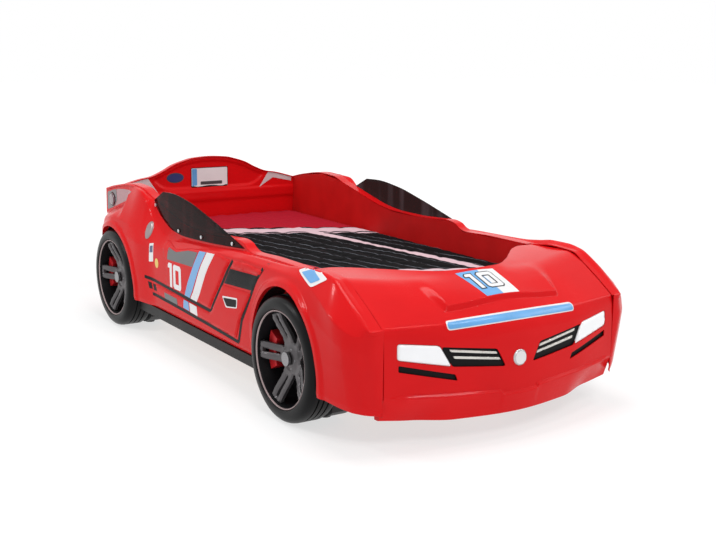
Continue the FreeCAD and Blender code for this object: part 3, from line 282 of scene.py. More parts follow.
def noise(tree, vector, scale, detail=3.0, roughness=0.55):
    inputs = {"Scale": scale, "Detail": detail, "Roughness": roughness, "Vector": vector}
    return output(tree, "TexNoise", inputs, "Fac")


def ranged(tree, value, low, high, from_low=0.35, from_high=0.65, **settings):
    inputs = {"From Min": from_low, "From Max": from_high, "To Min": low, "To Max": high, "Value": value}
    return output(tree, "MapRange", inputs, "Result", **settings)


def blended(tree, factor, first, second):
    """Mix of two colours, or of outputs that carry colours."""
    first, second = ((*c, 1) if isinstance(c, tuple) else c for c in (first, second))
    return output(tree, "Mix", {6: first, 7: second, 0: factor}, 2, data_type="RGBA")


def combined(tree, operation, first, second=0.0):
    return output(tree, "Math", {0: first, 1: second}, operation=operation)


def times(tree, first, second):
    return combined(tree, "MULTIPLY", first, second)


def plus(tree, first, second):
    return combined(tree, "ADD", first, second)


def bump(tree, height, strength, distance):
    return output(tree, "Bump", {"Strength": strength, "Distance": distance, "Height": height}, "Normal")


def finish(name, colour, rough, spread=0.06, shade=0.08, metallic=0.0, coat=0.0, coat_rough=0.05,
           grain=0.0, grain_size=900.0, patch_size=9.0, specular=0.5):
    """Solid-coloured material with uneven gloss, slight shade changes and a fine surface grain."""
    material, tree, shader = material_of(name)
    vector = object_coordinates(tree)
    broad = noise(tree, vector, patch_size)
    fine = noise(tree, vector, grain_size, 2.0)
    darker = tuple(c * (1 - shade) for c in colour)
    lighter = tuple(min(c * (1 + shade), 1.0) for c in colour)
    mixed = plus(tree, times(tree, broad, 0.6), times(tree, fine, 0.4))
    feed(tree, shader, {
        "Base Color": blended(tree, ranged(tree, broad, 0, 1), darker, lighter),
        "Roughness": ranged(tree, mixed, max(rough - spread, 0.02), min(rough + spread, 1)),
        "Metallic": metallic, "Coat Weight": coat, "Coat Roughness": coat_rough,
        "Specular IOR Level": specular, "Normal": bump(tree, fine, grain, 0.0004)})
    material.diffuse_color = (*colour, 1)
    return material


def film(name, colour, shade, rough=0.30):
    """Printed film or painted field on the shells."""
    return finish(name, colour, rough, 0.05, shade, coat=0.4, grain=0.03)


RED = (0.64, 0.006, 0.008)
BLUE = (0.095, 0.33, 0.66)
WHITE = (0.74, 0.73, 0.74)

shell_red = finish("shell_red", RED, 0.24, 0.04, 0.03, coat=0.14, coat_rough=0.09, grain=0.02,
                   grain_size=420.0, patch_size=5.0, specular=0.04)
board_red = finish("board_red", (0.56, 0.011, 0.011), 0.42, 0.06, 0.06, grain=0.12, grain_size=700.0,
                   specular=0.1)
rubber = finish("tyre_rubber", (0.0025, 0.0025, 0.003), 0.34, 0.06, 0.15, grain=0.15, grain_size=1400.0,
                specular=0.14)
rim_paint = finish("rim_paint", (0.085, 0.078, 0.082), 0.34, 0.06, 0.10, metallic=0.35, coat=0.15,
                   coat_rough=0.15, grain=0.06, specular=0.3)
barrel_paint = finish("barrel_paint", (0.006, 0.006, 0.007), 0.45, 0.08, 0.12, grain=0.1, specular=0.12)
rim_edge = finish("rim_edge", (0.36, 0.27, 0.27), 0.35, 0.06, 0.08, metallic=0.4, grain=0.05)
cap_paint = finish("cap_paint", (0.27, 0.27, 0.28), 0.30, 0.05, 0.08, metallic=0.8, grain=0.05)
caliper_paint = finish("caliper_paint", (0.50, 0.01, 0.015), 0.30, 0.05, 0.08, coat=0.6, grain=0.05)
black_plastic = finish("black_plastic", (0.006, 0.006, 0.007), 0.42, 0.08, 0.12, grain=0.18,
                       grain_size=1100.0, specular=0.3)
sill_plastic = finish("sill_plastic", (0.004, 0.0035, 0.0035), 0.30, 0.06, 0.12, grain=0.12,
                      grain_size=1100.0, specular=0.12)
black_film = finish("black_film", (0.003, 0.003, 0.004), 0.30, 0.05, 0.10, grain=0.03, specular=0.07)
white_film = film("white_film", WHITE, 0.03)
blue_film = film("blue_film", BLUE, 0.05)
navy_film = film("navy_film", (0.014, 0.028, 0.14), 0.05)
grey_film = film("grey_film", (0.048, 0.047, 0.052), 0.06, 0.32)
pale_film = film("pale_film", (0.60, 0.55, 0.56), 0.06, 0.32)
yellow_film = film("yellow_film", (0.75, 0.50, 0.05), 0.06, 0.32)
bright_trim = finish("bright_trim", (0.62, 0.60, 0.56), 0.28, 0.05, 0.06, metallic=0.55, coat=0.3, grain=0.05)
silver_paint = finish("silver_paint", (0.50, 0.50, 0.51), 0.28, 0.05, 0.06, metallic=0.8, coat=0.3,
                      grain=0.05)
cap_silver = finish("cap_silver", (0.30, 0.24, 0.24), 0.34, 0.05, 0.06, metallic=0.7, coat=0.2, grain=0.05)
zinc = finish("zinc_plate", (0.60, 0.61, 0.63), 0.30, 0.08, 0.08, metallic=0.95, grain=0.1)
lens_white = finish("lens_milk", (0.90, 0.91, 0.93), 0.16, 0.04, 0.02, coat=1.0, coat_rough=0.03, grain=0.08,
                    grain_size=260.0)
lamp_red = finish("lamp_smoke", (0.10, 0.008, 0.025), 0.16, 0.04, 0.10, coat=1.0, coat_rough=0.03, grain=0.03)
lamp_grey = finish("lamp_grey", (0.055, 0.014, 0.024), 0.2, 0.05, 0.2, coat=0.5, coat_rough=0.04, grain=0.03)
# painted reflection: pale pink that stands for the white surroundings mirrored in the red tail
painted_reflection_film = finish("painted_reflection_film", (0.33, 0.10, 0.12), 0.25, 0.05, 0.15, coat=0.5, coat_rough=0.05, grain=0.03)
solder_green = finish("solder_mask", (0.02, 0.16, 0.06), 0.40, 0.06, 0.10, coat=0.3, grain=0.1)
lead_rubber = finish("lead_rubber", (0.015, 0.015, 0.016), 0.50, 0.06, 0.10, grain=0.1)
grille_black = finish("grille_black", (0.0035, 0.0035, 0.004), 0.5, 0.08, 0.15, grain=0.2, specular=0.12)
grey_felt = finish("grey_felt", (0.09, 0.09, 0.09), 0.95, 0.04, 0.20, grain=0.6, grain_size=1800.0)


def wood_finish(name, dark, light, rough):
    """Board with long grain."""
    material, tree, shader = material_of(name)
    grain = noise(tree, object_coordinates(tree, (60, 2.2, 60)), 3.0, 6.0, 0.65)
    pores = noise(tree, object_coordinates(tree, (700, 30, 700)), 1.0, 2.0)
    feed(tree, shader, {"Base Color": blended(tree, ranged(tree, grain, 0, 1), dark, light),
                        "Roughness": ranged(tree, pores, rough - 0.08, rough + 0.08),
                        "Normal": bump(tree, pores, 0.25, 0.0005)})
    return material


def pane_finish():
    """Smoked see-through plastic with faint upright streaks, a little cloudy from handling."""
    material, tree, shader = material_of("smoked_pane")
    smear = noise(tree, object_coordinates(tree, (1, 1, 3)), 14.0, 4.0)
    streak = noise(tree, object_coordinates(tree, (0.2, 7, 0.4)), 3.0, 1.0)
    tint = blended(tree, ranged(tree, streak, 0, 1, 0.50, 0.72), (0.022, 0.011, 0.011), (0.052, 0.034, 0.037))
    feed(tree, shader, {"Base Color": tint, "Roughness": ranged(tree, smear, 0.03, 0.08),
                        "Transmission Weight": 0.97, "IOR": 1.1})
    return material


def above(tree, value, level, soft=0.0008):
    """1 where the value is over the level, with a thin soft edge."""
    return ranged(tree, value, 0.0, 1.0, level - soft, level + soft, interpolation_type="SMOOTHSTEP")


def slanted(tree, axes, along, over):
    """Distance in metres across a slanted line: along * x + over * y."""
    return plus(tree, times(tree, axes[0], along), times(tree, axes[1], over))


def between(tree, value, low, high):
    return combined(tree, "SUBTRACT", above(tree, value, low), above(tree, value, high))


def spread_finish():
    """Printed bedspread: crimson ends, black middle, pale bands and grey pinstripes on a slant."""
    material, tree, shader = material_of("spread_cloth")
    x, y, _ = axes = split_axes(tree)
    pale, crimson = (0.62, 0.44, 0.48), (0.36, 0.009, 0.022)
    ramp = slanted(tree, axes, 0.42, 0.907)
    rake = slanted(tree, axes, 0.98, 0.20)
    bend = times(tree, combined(tree, "SINE", times(tree, y, 1.6)), 0.10)
    lane = plus(tree, x, bend)
    saw = combined(tree, "PINGPONG", rake, 0.036)
    pinstripes = times(tree, above(tree, saw, 0.0347, 0.0006), above(tree, rake, -0.30))
    foot = combined(tree, "SUBTRACT", 1.0, above(tree, ramp, -0.42))
    slub = noise(tree, object_coordinates(tree), 55.0, 3.0)
    colour = (0.003, 0.003, 0.0035)
    for where, tint in ((pinstripes, (0.19, 0.20, 0.23)),
                        (between(tree, lane, -0.335, -0.275), pale),
                        (between(tree, lane, 0.235, 0.275), pale),
                        (between(tree, lane, -0.262, -0.248), (0.40, 0.010, 0.022)),
                        (above(tree, ramp, 0.62), crimson), (between(tree, ramp, 0.50, 0.60), pale),
                        (between(tree, ramp, 0.47, 0.482), pale), (foot, crimson),
                        (between(tree, ramp, -0.41, -0.37), pale),
                        (ranged(tree, slub, 0.0, 0.012), (0.30, 0.28, 0.29))):
        colour = blended(tree, where, colour, tint)
    weave = noise(tree, object_coordinates(tree, (1, 0.35, 1)), 1500.0, 2.0)
    feed(tree, shader, {"Base Color": colour, "Roughness": ranged(tree, slub, 0.78, 0.92),
                        "Specular IOR Level": 0.04, "Normal": bump(tree, weave, 0.35, 0.0006)})
    return material


def knit_finish():
    """White ticking of the mattress, quilted in a fine diamond."""
    material, tree, shader = material_of("mattress_cloth")
    x, y, z = split_axes(tree)
    vector = object_coordinates(tree)
    rising = plus(tree, plus(tree, x, y), z)
    falling = combined(tree, "SUBTRACT", plus(tree, x, z), y)
    seam = combined(tree, "MINIMUM", combined(tree, "PINGPONG", rising, 0.04),
                    combined(tree, "PINGPONG", falling, 0.04))
    thread = noise(tree, vector, 1700.0, 2.0)
    tint = ranged(tree, noise(tree, vector, 22.0), 0, 1)
    height = plus(tree, ranged(tree, seam, 0, 1, 0.0, 0.012), times(tree, thread, 0.25))
    feed(tree, shader, {"Base Color": blended(tree, tint, (0.72, 0.71, 0.69), (0.82, 0.81, 0.79)),
                        "Roughness": ranged(tree, thread, 0.82, 0.95), "Sheen Weight": 0.15,
                        "Normal": bump(tree, height, 0.5, 0.002)})
    return material


pine = wood_finish("pine_board", (0.44, 0.29, 0.15), (0.62, 0.45, 0.26), 0.62)
black_board = wood_finish("black_board", (0.008, 0.008, 0.009), (0.018, 0.018, 0.019), 0.55)
smoked_pane = pane_finish()
spread_cloth = spread_finish()
mattress_cloth = knit_finish()


# ---- patches that follow a surface
host = {}  # surfaces that patches follow, by view


def resampled(loop, spacing):
    points = []
    for (ax, ay), (bx, by) in pairs(loop):
        steps = max(1, round(hypot(bx - ax, by - ay) / spacing))
        points += [(ax + (bx - ax) * k / steps, ay + (by - ay) * k / steps) for k in range(steps)]
    return points


def inside(loop, spots):
    """Which of the flat points lie within a closed outline."""
    spots = np.asarray(spots, float).reshape(-1, 2)
    hit = np.zeros(len(spots), bool)
    for (ax, ay), (bx, by) in pairs(loop):
        if ay == by:
            continue
        crosses = (ay > spots[:, 1]) != (by > spots[:, 1])
        hit ^= crosses & (spots[:, 0] < (bx - ax) * (spots[:, 1] - ay) / (by - ay) + ax)
    return hit


def within(loop, holes, spots):
    hit = inside(loop, spots)
    for hole in holes:
        hit &= ~inside(hole, spots)
    return hit


def border_distance(loops, spots):
    """Distance of flat points from the nearest of some closed outlines."""
    spots = np.asarray(spots, float).reshape(-1, 2)
    best = np.full(len(spots), 1e9)
    for loop in loops:
        for (ax, ay), (bx, by) in pairs(loop):
            dx, dy = bx - ax, by - ay
            share = ((spots[:, 0] - ax) * dx + (spots[:, 1] - ay) * dy) / max(dx * dx + dy * dy, 1e-9)
            share = np.clip(share, 0, 1)
            best = np.minimum(best, np.hypot(spots[:, 0] - ax - dx * share, spots[:, 1] - ay - dy * share))
    return best


def shrunk(loop, margin):
    """Loop moved inward; a negative margin moves it outward."""
    area = sum(ax * by - bx * ay for (ax, ay), (bx, by) in pairs(loop))
    turn = 1 if area > 0 else -1
    result = []
    for i in range(len(loop)):
        (px, py), (cx, cy), (nx, ny) = loop[i - 1], loop[i], loop[(i + 1) % len(loop)]
        a = np.array((cx - px, cy - py))
        b = np.array((nx - cx, ny - cy))
        a, b = a / max(np.linalg.norm(a), 1e-9), b / max(np.linalg.norm(b), 1e-9)
        normal = np.array((-a[1] - b[1], a[0] + b[0])) * turn
        length = max(np.linalg.norm(normal), 0.6)
        normal = normal / length
        scale = margin / max(sqrt(max((1 + float(a @ b)) / 2, 0.1)), 0.3)
        result.append((cx + normal[0] * scale, cy + normal[1] * scale))
    return result


def flat_patch(loop, holes, spacing):
    """Even triangles over a flat outline: returns points and triangles."""
    outer = resampled(loop, spacing)
    rings = [outer] + [resampled(h, spacing) for h in holes]
    points, edges = [], []
    for ring in rings:
        start = len(points)
        points += ring
        edges += [(start + k, start + (k + 1) % len(ring)) for k in range(len(ring))]
    us, vs = zip(*outer)
    rows = np.arange(min(vs) + spacing * 0.43, max(vs), spacing * 0.87)
    lattice = [(u + (spacing / 2 if k % 2 else 0), v)
               for k, v in enumerate(rows) for u in np.arange(min(us), max(us), spacing)]
    if lattice:
        clear = within(shrunk(loop, spacing * 0.6), [shrunk(h, -spacing * 0.6) for h in holes], lattice)
        points += [p for p, keep in zip(lattice, clear) if keep]
    found = delaunay_2d_cdt([Vector(p) for p in points], edges, [], 0, 1e-5)
    spots = [(p.x, p.y) for p in found[0]]
    triangles = [tuple(t) for t in found[2]]
    centres = [[sum(axis) / 3 for axis in zip(*(spots[i] for i in t))] for t in triangles]
    kept = within(loop, holes, centres)
    return spots, [t for t, keep in zip(triangles, kept) if keep]


VIEWS = {
    "left": (lambda u, v: Vector((900, u, v)), Vector((-1, 0, 0))),
    "right": (lambda u, v: Vector((-900, u, v)), Vector((1, 0, 0))),
    "nose": (lambda u, v: Vector((u, NOSE - 300, v)), Vector((0, 1, 0))),
    "bonnet": (lambda u, v: Vector((u, v, 900)), Vector((0, 0, -1))),
    "head": (lambda u, v: Vector((u, HEAD - 300, v)), Vector((0, 1, 0))),
}


def follow(name, view, loop, material, lift, depth=1.2, soft=0, holes=(), spacing=9.0, edge=0.0, **options):
    """Closed piece that follows a host surface: lift is how far it stands out, depth its thickness.

    Its corners are rounded by the soft radius, and its edge falls off over the edge width."""
    start, ray = VIEWS[view]
    tree = host["nose" if view == "bonnet" else view]
    loop = softened(loop, soft) if soft else loop
    spots, triangles = flat_patch(loop, list(holes), spacing)
    rises = np.full(len(spots), float(lift))
    if edge:
        near = np.clip(border_distance([loop, *holes], spots) / edge, 0, 1)
        rises = lift - edge + edge * np.sqrt(near * (2 - near))
    tops, lows = [], []
    for (u, v), rise in zip(spots, rises):
        hit = tree.ray_cast(start(u, v), ray)[0] or tree.find_nearest(start(u, v) + ray * 330)[0]
        tops.append(tuple(hit - ray * float(rise)))
        lows.append(tuple(hit - ray * (lift - depth)))
    return piece(name, *slab(tops, lows, triangles), material, **options)


def mirrored(loop, side):
    return [(u * side, v) for u, v in loop]


def prisms(loops, near, far):
    """Solid columns along Y over the given (x, z) outlines, for cutting openings."""
    verts, faces = [], []
    for loop in loops:
        start, count = len(verts), len(loop)
        verts += [(u, y, v) for y in (near, far) for u, v in loop]
        faces.append(tuple(range(start, start + count)))
        faces.append(tuple(range(start + 2 * count - 1, start + count - 1, -1)))
        faces += [(start + k, start + count + k, start + count + (k + 1) % count, start + (k + 1) % count)
                  for k in range(count)]
    thing = new_object("openings", verts, faces)
    cleaned(thing.data)
    return thing


def strip(points, width):
    """Outline of a band of one width along a polyline."""
    left, right = [], []
    for i, (x, y) in enumerate(points):
        ahead = points[min(i + 1, len(points) - 1)]
        behind = points[max(i - 1, 0)]
        dx, dy = ahead[0] - behind[0], ahead[1] - behind[1]
        length = hypot(dx, dy)
        nx, ny = -dy / length * width / 2, dx / length * width / 2
        left.append((x + nx, y + ny))
        right.append((x - nx, y - ny))
    return left + right[::-1]


def softened(loop, radius, count=4):
    """Closed outline with its corners rounded."""
    result = []
    for i in range(len(loop)):
        before, corner, after = (np.array(loop[k % len(loop)]) for k in (i - 1, i, i + 1))
        a, b = before - corner, after - corner
        la, lb = np.linalg.norm(a), np.linalg.norm(b)
        reach = min(radius, 0.45 * la, 0.45 * lb)
        start, end = corner + a / la * reach, corner + b / lb * reach
        result += map(tuple, corner_curve(start, corner, end, [k / count for k in range(count + 1)]))
    return result


def oval(u, v, half_u, half_v, count=36):
    return [(u + half_u * cos(turn), v + half_v * sin(turn))
            for turn in (2 * pi * k / count for k in range(count))]


def disc(u, v, radius):
    return oval(u, v, radius, radius, 40)


# ---- lines of the side shells
def along(*runs):
    """Line through runs of points, each given as offsets from the two anchors of its run."""
    return Line([(station + a, base + b) for station, base, *offsets in runs for a, b in offsets])


TOP = along(
    (NOSE, LEDGE, (86, -109), (153, -65), (226, -22), (291, 12)), (FRONT, LEDGE, (-133, 16), (-13, 4)),
    (TIP, LEDGE, (-210, 3), (-61, -3), (-22, 5), (13, 22), (58, 28), (164, 21), (300, 15)),
    (PANE_REAR, LEDGE, (-403, 15), (-283, 25)), (PANE_REAR, PILLAR, (-159, -72), (-64, -50), (36, -28)),
    (REAR, PILLAR, (-161, -3), (-59, 0), (109, -21)), (TAIL, PILLAR, (-4, -51)))
PANE_LOW = along(
    (TIP, LEDGE, (0, 3), (104, -6), (330, -22)), (PANE_REAR, LEDGE, (-285, -30), (-183, -22), (-107, 3),
    (-23, 52), (0, 81)), (PANE_REAR, PILLAR, (46, 10)))
PANE_UPPER = along(
    (TIP, LEDGE, (0, 3), (48, 17), (156, 45)),
    (PANE_REAR, PILLAR, (-493, -36), (-343, -6), (-190, 8), (-92, 4)))
CREST = along(
    (NOSE, LEDGE, (86, -111), (153, -62), (226, -14), (291, 18)), (FRONT, LEDGE, (-166, 29), (-87, 28),
    (-13, 16)), (TIP, LEDGE, (-332, 5), (-72, -3), (13, -7), (135, -16), (274, -31)),
    (PANE_REAR, LEDGE, (-340, -46), (-251, -54), (-185, -50), (-114, -27), (-52, 2), (-1, 42), (29, 81)),
    (PANE_REAR, PILLAR, (93, -4)), (REAR, PILLAR, (-59, -2), (109, -23)), (TAIL, PILLAR, (-4, -53)))
CREST_OUT = along((PANE_REAR, CREST_X, (60, 0), (93, 0)), (REAR, LIP_X, (-59, 0), (0, 0)))
BELT = along(
    (NOSE, LEDGE, (86, -129), (113, -128), (153, -112), (196, -89), (303, -47)), (FRONT, LEDGE, (-133, -18),
    (-13, -9)), (TIP, LEDGE, (-132, -17), (-72, -16), (13, -24), (135, -26), (274, -45)),
    (PANE_REAR, LEDGE, (-340, -70), (-251, -80), (-114, -88), (-1, -72)), (REAR, LEDGE, (-159, -32), (0, -22),
    (109, -40)), (TAIL, LEDGE, (-33, -62), (-4, -70)))
BELT_OUT = along(
    (NOSE, WING, (86, -69), (113, -33), (153, -9), (196, 0), (303, -15)), (FRONT, WING, (-133, -27)),
    (TIP, DOOR, (-132, 0)), (PANE_REAR, DOOR, (-251, 0)), (PANE_REAR, QUARTER, (-1, -22)),
    (REAR, QUARTER, (-159, -12), (0, -9), (109, -18)), (TAIL, QUARTER, (-73, -39), (-33, -64), (-4, -84)))
SHOULDER = along(
    (NOSE, LEDGE, (86, -182), (196, -152), (303, -112)), (FRONT, LEDGE, (0, -67)), (TIP, LEDGE, (-72, -72)),
    (PANE_REAR, LEDGE, (-251, -112), (0, -102)), (REAR, LEDGE, (0, -72)), (TAIL, LEDGE, (-4, -92)))
FLANK_OUT = along(
    (NOSE, WING, (86, -57), (113, -23), (153, -2), (196, 1), (303, 1)), (FRONT, WING, (0, -9)),
    (TIP, DOOR, (-132, 6)), (PANE_REAR, DOOR, (-114, 6)), (PANE_REAR, QUARTER, (61, -6)),
    (REAR, QUARTER, (0, 0), (109, -10)), (TAIL, QUARTER, (-73, -32), (-33, -59), (-4, -81)))
HEM_LINE = along(
    (NOSE, HEM, (86, -24), (196, -15)), (FRONT, HEM, (-245, -6)), (TIP, HEM, (-332, 0)),
    (PANE_REAR, HEM, (93, 0)), (TAIL, HEM, (-4, -36)))
GUTTER = along((REAR, LEDGE, (-59, 66), (-33, 46), (128, -5)), (TAIL, LEDGE, (-4, -39)))
SIDE_RADII = [0, 5, 3, 16, 10, 34, 60, 60, 10, 3, 0]
SIDE_COUNTS = [3, 4, 6, 6, 6, 9, 24, 16, 2, 2]
BELT_CORNER = 5
PANE_SEAT = 8
SHELL_LOW, SHELL_HIGH = NOSE + 86, TAIL - 4
SHELL_STATIONS = 370
ARCHES = ((FRONT, FRONT_ARCH, 7.5), (REAR, REAR_ARCH, 6.5))
ARCH_LIP = ARCH_SLOPE = 15
ARCH_RETURN = 24


def side_outline(station):
    """Half section of a side shell, from the inner top edge down to the hem."""
    inner = PANEL_OUT + SEAM if station < FRONT - 14 else HALF
    top = TOP(station)
    foot = top - 6 * smoothstep(FRONT - 150, FRONT - 30, station)
    if TIP - 30 < station < PANE_REAR + 46:
        foot = min(foot, PANE_LOW(station) - PANE_SEAT)
    flank, hem = FLANK_OUT(station), HEM_LINE(station)
    tuck = 1 - smoothstep(NOSE + 110, NOSE + 290, station)
    crest = (CREST_OUT(station), CREST(station))
    belt = (BELT_OUT(station), BELT(station))
    under_lip = smoothstep(REAR - 74, REAR - 40, station)
    gutter = tuple((c + b) / 2 + (lipped - (c + b) / 2) * under_lip
                   for c, b, lipped in zip(crest, belt, (LIP_X + 1, GUTTER(station))))
    return [
        (inner, top), (RIDGE_X, top), (RIDGE_X + 1, foot), crest, gutter, belt,
        (flank, SHOULDER(station)), (flank - 1 - 8 * tuck, WAIST), (flank - 8 - 24 * tuck, hem + 19),
        (flank - 13 - 26 * tuck, hem), (flank - 28 - 20 * tuck, hem),
    ]


def flare(y, z):
    """How far the skin stands out around the wheel arches."""
    return max(rise * (1 - smoothstep(arch + ARCH_LIP, arch + ARCH_LIP + ARCH_SLOPE,
                                      hypot(y - axle, z - AXLE_Z))) for axle, arch, rise in ARCHES)


def side_row(y):
    """Points of a side shell's section, with the flare of the wheel arches."""
    wing = 1 - smoothstep(FRONT - 260, FRONT - 20, y)
    radii = list(SIDE_RADII)
    radii[BELT_CORNER - 2:BELT_CORNER + 1] = 16 + 34 * wing, 10 + 30 * wing, 34 - 22 * wing
    outline = rounded(side_outline(y), radii, SIDE_COUNTS)
    count = len(outline)
    return [np.array((x + (flare(y, z) * (1 if k < count - 5 else 0.6) if k >= count // 3 else 0), y, z))
            for k, (x, z) in enumerate(outline)]


def closing(row, steps, limit):
    """Rounded end: rows that turn in to a flat end face."""
    ends = [[np.array((max(x - inset, limit), y + shift, z)) for x, y, z in row] for inset, shift in steps]
    return ends + [[np.array((limit, y + steps[-1][1], z)) for x, y, z in row]]


def side_sheet():
    """Vertices and faces of the left-hand outer skin, arches cut out."""
    stations = sorted({FRONT - 15.0, FRONT - 13.0, *np.linspace(SHELL_LOW, SHELL_HIGH, SHELL_STATIONS)})
    rows = [side_row(y) for y in stations]
    front_rows = closing(rows[0], ((7, -4.5), (14, -8), (22, -10), (31, -11)), PANEL_OUT + SEAM)
    rows = front_rows[::-1] + rows + closing(rows[-1], ((2.5, 2), (7, 3)), HALF)
    verts, faces = [p for row in rows for p in row], grid_faces(len(rows), len(rows[0]))
    for axle, radius, _ in ARCHES:
        verts, faces = arch_cut(verts, faces, axle, radius)
    return verts, faces


def arch_cut(verts, faces, axle, radius):
    """Takes out the faces inside a wheel arch and gives the edge a return towards the wheel."""
    distance = [hypot(v[1] - axle, v[2] - AXLE_Z) for v in verts]
    cut, kept = [], []
    for face in faces:
        gone = (sum(distance[i] for i in face) / len(face) < radius
                and min(verts[i][0] for i in face) > PANEL_OUT + 1)
        (cut if gone else kept).append(face)
    rim = {i for f in cut for i in f} & {i for f in kept for i in f}
    for i in rim:
        angle = atan2(verts[i][2] - AXLE_Z, verts[i][1] - axle)
        verts[i][1:] = axle + radius * cos(angle), AXLE_Z + radius * sin(angle)
    edges = dict.fromkeys((a, b) for f in kept for a, b in pairs(f) if a in rim and b in rim)
    border = [(a, b) for a, b in edges if (b, a) not in edges]
    copies = {}
    for i in (i for edge in border for i in edge):
        if i not in copies:
            x, y, z = verts[i]
            copies[i] = len(verts)
            verts.append(np.array((max(x - ARCH_RETURN, PANEL_OUT + 2), y, z)))
    return verts, kept + [(b, a, copies[a], copies[b]) for a, b in border]


def red_skin(name, verts, faces, replaced):
    return piece(name, verts, faces, shell_red, angle=32, slot="red_shell", replaces=replaced, thickness=SKIN)


side_verts, side_faces = side_sheet()
for hand, side in SIDES:
    verts = [(x * side, y, z) for x, y, z in side_verts]
    host[hand] = tree_of(verts, side_faces)
    red_skin(hand + "_side_skin", verts, side_faces, hand + "_side_shell")

# ---- front shell
NOSE_LINES = [[(x, NOSE + y, base + z) for x, y, z in line] for base, line in (
    (LEDGE, [(0, 248, 2), (100, 261, 2), (204, 329, 2), (290, 410, 2), (360, 473, 2), (420, 502, 2),
             (PANEL_OUT, 502, 2)]),
    (LEDGE, [(0, 203, -23), (231, 223, -14), (PANEL_OUT, 291, 10)]),
    (LEDGE, [(0, 143, -51), (231, 158, -46), (PANEL_OUT, 226, -24)]),
    (LEDGE, [(0, 84, -73), (231, 93, -85), (PANEL_OUT, 153, -67)]),
    (LEDGE, [(0, 33, -115), (231, 48, -113), (PANEL_OUT, 86, -111)]),
    (LEDGE, [(0, 15, -146), (231, 31, -152), (PANEL_OUT, 79, -140)]),
    (LEDGE, [(0, 7, -222), (231, 24, -222), (PANEL_OUT, 75, -222)]),
    (HEM, [(0, 0, 5), (231, 21, 12), (PANEL_OUT, 73, 24)]),
    (NOSE_BOTTOM, [(0, 6, 0), (231, 39, 0), (366, 90, 6), (PANEL_OUT, 102, 20)]),
)]
NOSE_RADII = [0, 400, 400, 40, 24, 200, 400, 4, 4, 6, 0]
NOSE_COUNTS = [12, 8, 34, 34, 6, 10, 20, 3, 20, 3]
BUMPER_RETURN, NOSE_FLANGE = 22, 20
LENS = [(434, 355), (297, 338), (259, 271), (435, 305)]
GRILLE = [(292, 334), (89, 307), (56, 247), (255, 269)]
AIR_SLOT = [(432, 288), (244, 243), (236, 223), (432, 268)]
GRILLE_BARS = [[(262, 323), (92, 298), (87, 290), (258, 315)], [(250, 301), (80, 278), (75, 270), (246, 293)]]
BADGE_Z, BADGE_RADIUS = 268.0, 27.0
BONNET_RAISE, CREASE_PROUD = 16.0, 10.0
BUMPER_FACE = 7
NOSE_CUTS = (((LENS, 10, 2.0), (AIR_SLOT, 4, 0.5)), ((GRILLE, 10, 0.5),))


def mirrored_line(line, axis):
    """A line across the bed from the points of its left half."""
    return Line([(-p[0], p[axis]) for p in line[:0:-1]] + [(p[0], p[axis]) for p in line])


nose_curves = [(mirrored_line(line, 1), mirrored_line(line, 2)) for line in NOSE_LINES]


def bonnet_relief(x, y):
    """Raised middle of the bonnet, with a step at its front edge and flanks that fade out."""
    ahead = y - (NOSE + 90)
    front_edge = smoothstep(-4, 4, ahead - 0.035 * max(abs(x) - 120, 0))
    flank = 1 - smoothstep(226, 236 + max(ahead, 0) * 0.45, abs(x) + max(ahead, 0) * 0.03)
    return BONNET_RAISE * front_edge * flank * (1 - smoothstep(30, 200, ahead))


def bumper_crease(x):
    """Height of the crease over the lower part of the bumper, and how far that part stands proud."""
    height = 161 + smoothstep(69, 79, abs(x)) * 12 + max(abs(x) - 79, 0) * 0.05
    return height, CREASE_PROUD * (1 - smoothstep(400, 470, abs(x)))


def nose_row(x):
    outline = [(depth(x), height(x)) for depth, height in nose_curves]
    outline.append((outline[-1][0] + BUMPER_RETURN, outline[-1][1]))
    crease, proud = bumper_crease(x)
    face = outline[BUMPER_FACE][0]
    outline[BUMPER_FACE:BUMPER_FACE + 1] = [(face, crease + 3), (face - proud, crease - 5)]
    return [np.array((x, y, z + bonnet_relief(x, y) if z > LEDGE - 200 else z))
            for y, z in rounded(outline, NOSE_RADII, NOSE_COUNTS)]


def nose_flange(row):
    """Return at a side end of the nose, drawn back and cut off below the wing's hem."""
    return [np.array((x, y + NOSE_FLANGE * smoothstep(HEM - 30, HEM + 10, z), max(z, HEM - 20)))
            for x, y, z in row]


nose_rows = [nose_row(x) for x in np.linspace(-PANEL_OUT, PANEL_OUT, 161)]
nose_rows = [nose_flange(nose_rows[0]), *nose_rows, nose_flange(nose_rows[-1])]
nose_verts = [p for row in nose_rows for p in row]
nose_faces = grid_faces(len(nose_rows), len(nose_rows[0]))
host["nose"] = tree_of(nose_verts, nose_faces)
front_skin = red_skin("front_skin", nose_verts, nose_faces, "front_shell")
for group in NOSE_CUTS:
    openings = prisms([mirrored(shrunk(softened(loop, radius), -gap), side)
                       for loop, radius, gap in group for _, side in SIDES], NOSE - 60, NOSE + 140)
    with_modifiers(front_skin, [("BOOLEAN", {"operation": "DIFFERENCE", "object": openings,
                                             "solver": "EXACT"})])
    bpy.data.objects.remove(openings)
finish_mesh(front_skin, shell_red, 32)

# ---- tail shell
ARCH_POINTS = [
    (0, ARCH_TOP), (84, ARCH_TOP - 5), (136, ARCH_TOP - 17), (188, ARCH_TOP - 34), (239, ARCH_TOP - 60),
    (305, ARCH_TOP - 85), (350, ARCH_TOP - 92), (HALF - 0.5, ARCH_TOP - 121),
]
ARCH = mirrored_line(ARCH_POINTS, 1)
TAIL_RADII = [0, 5, 8, 60, 60, 6, 6, 0]
TAIL_COUNTS = [6, 3, 12, 12, 14, 2, 3]


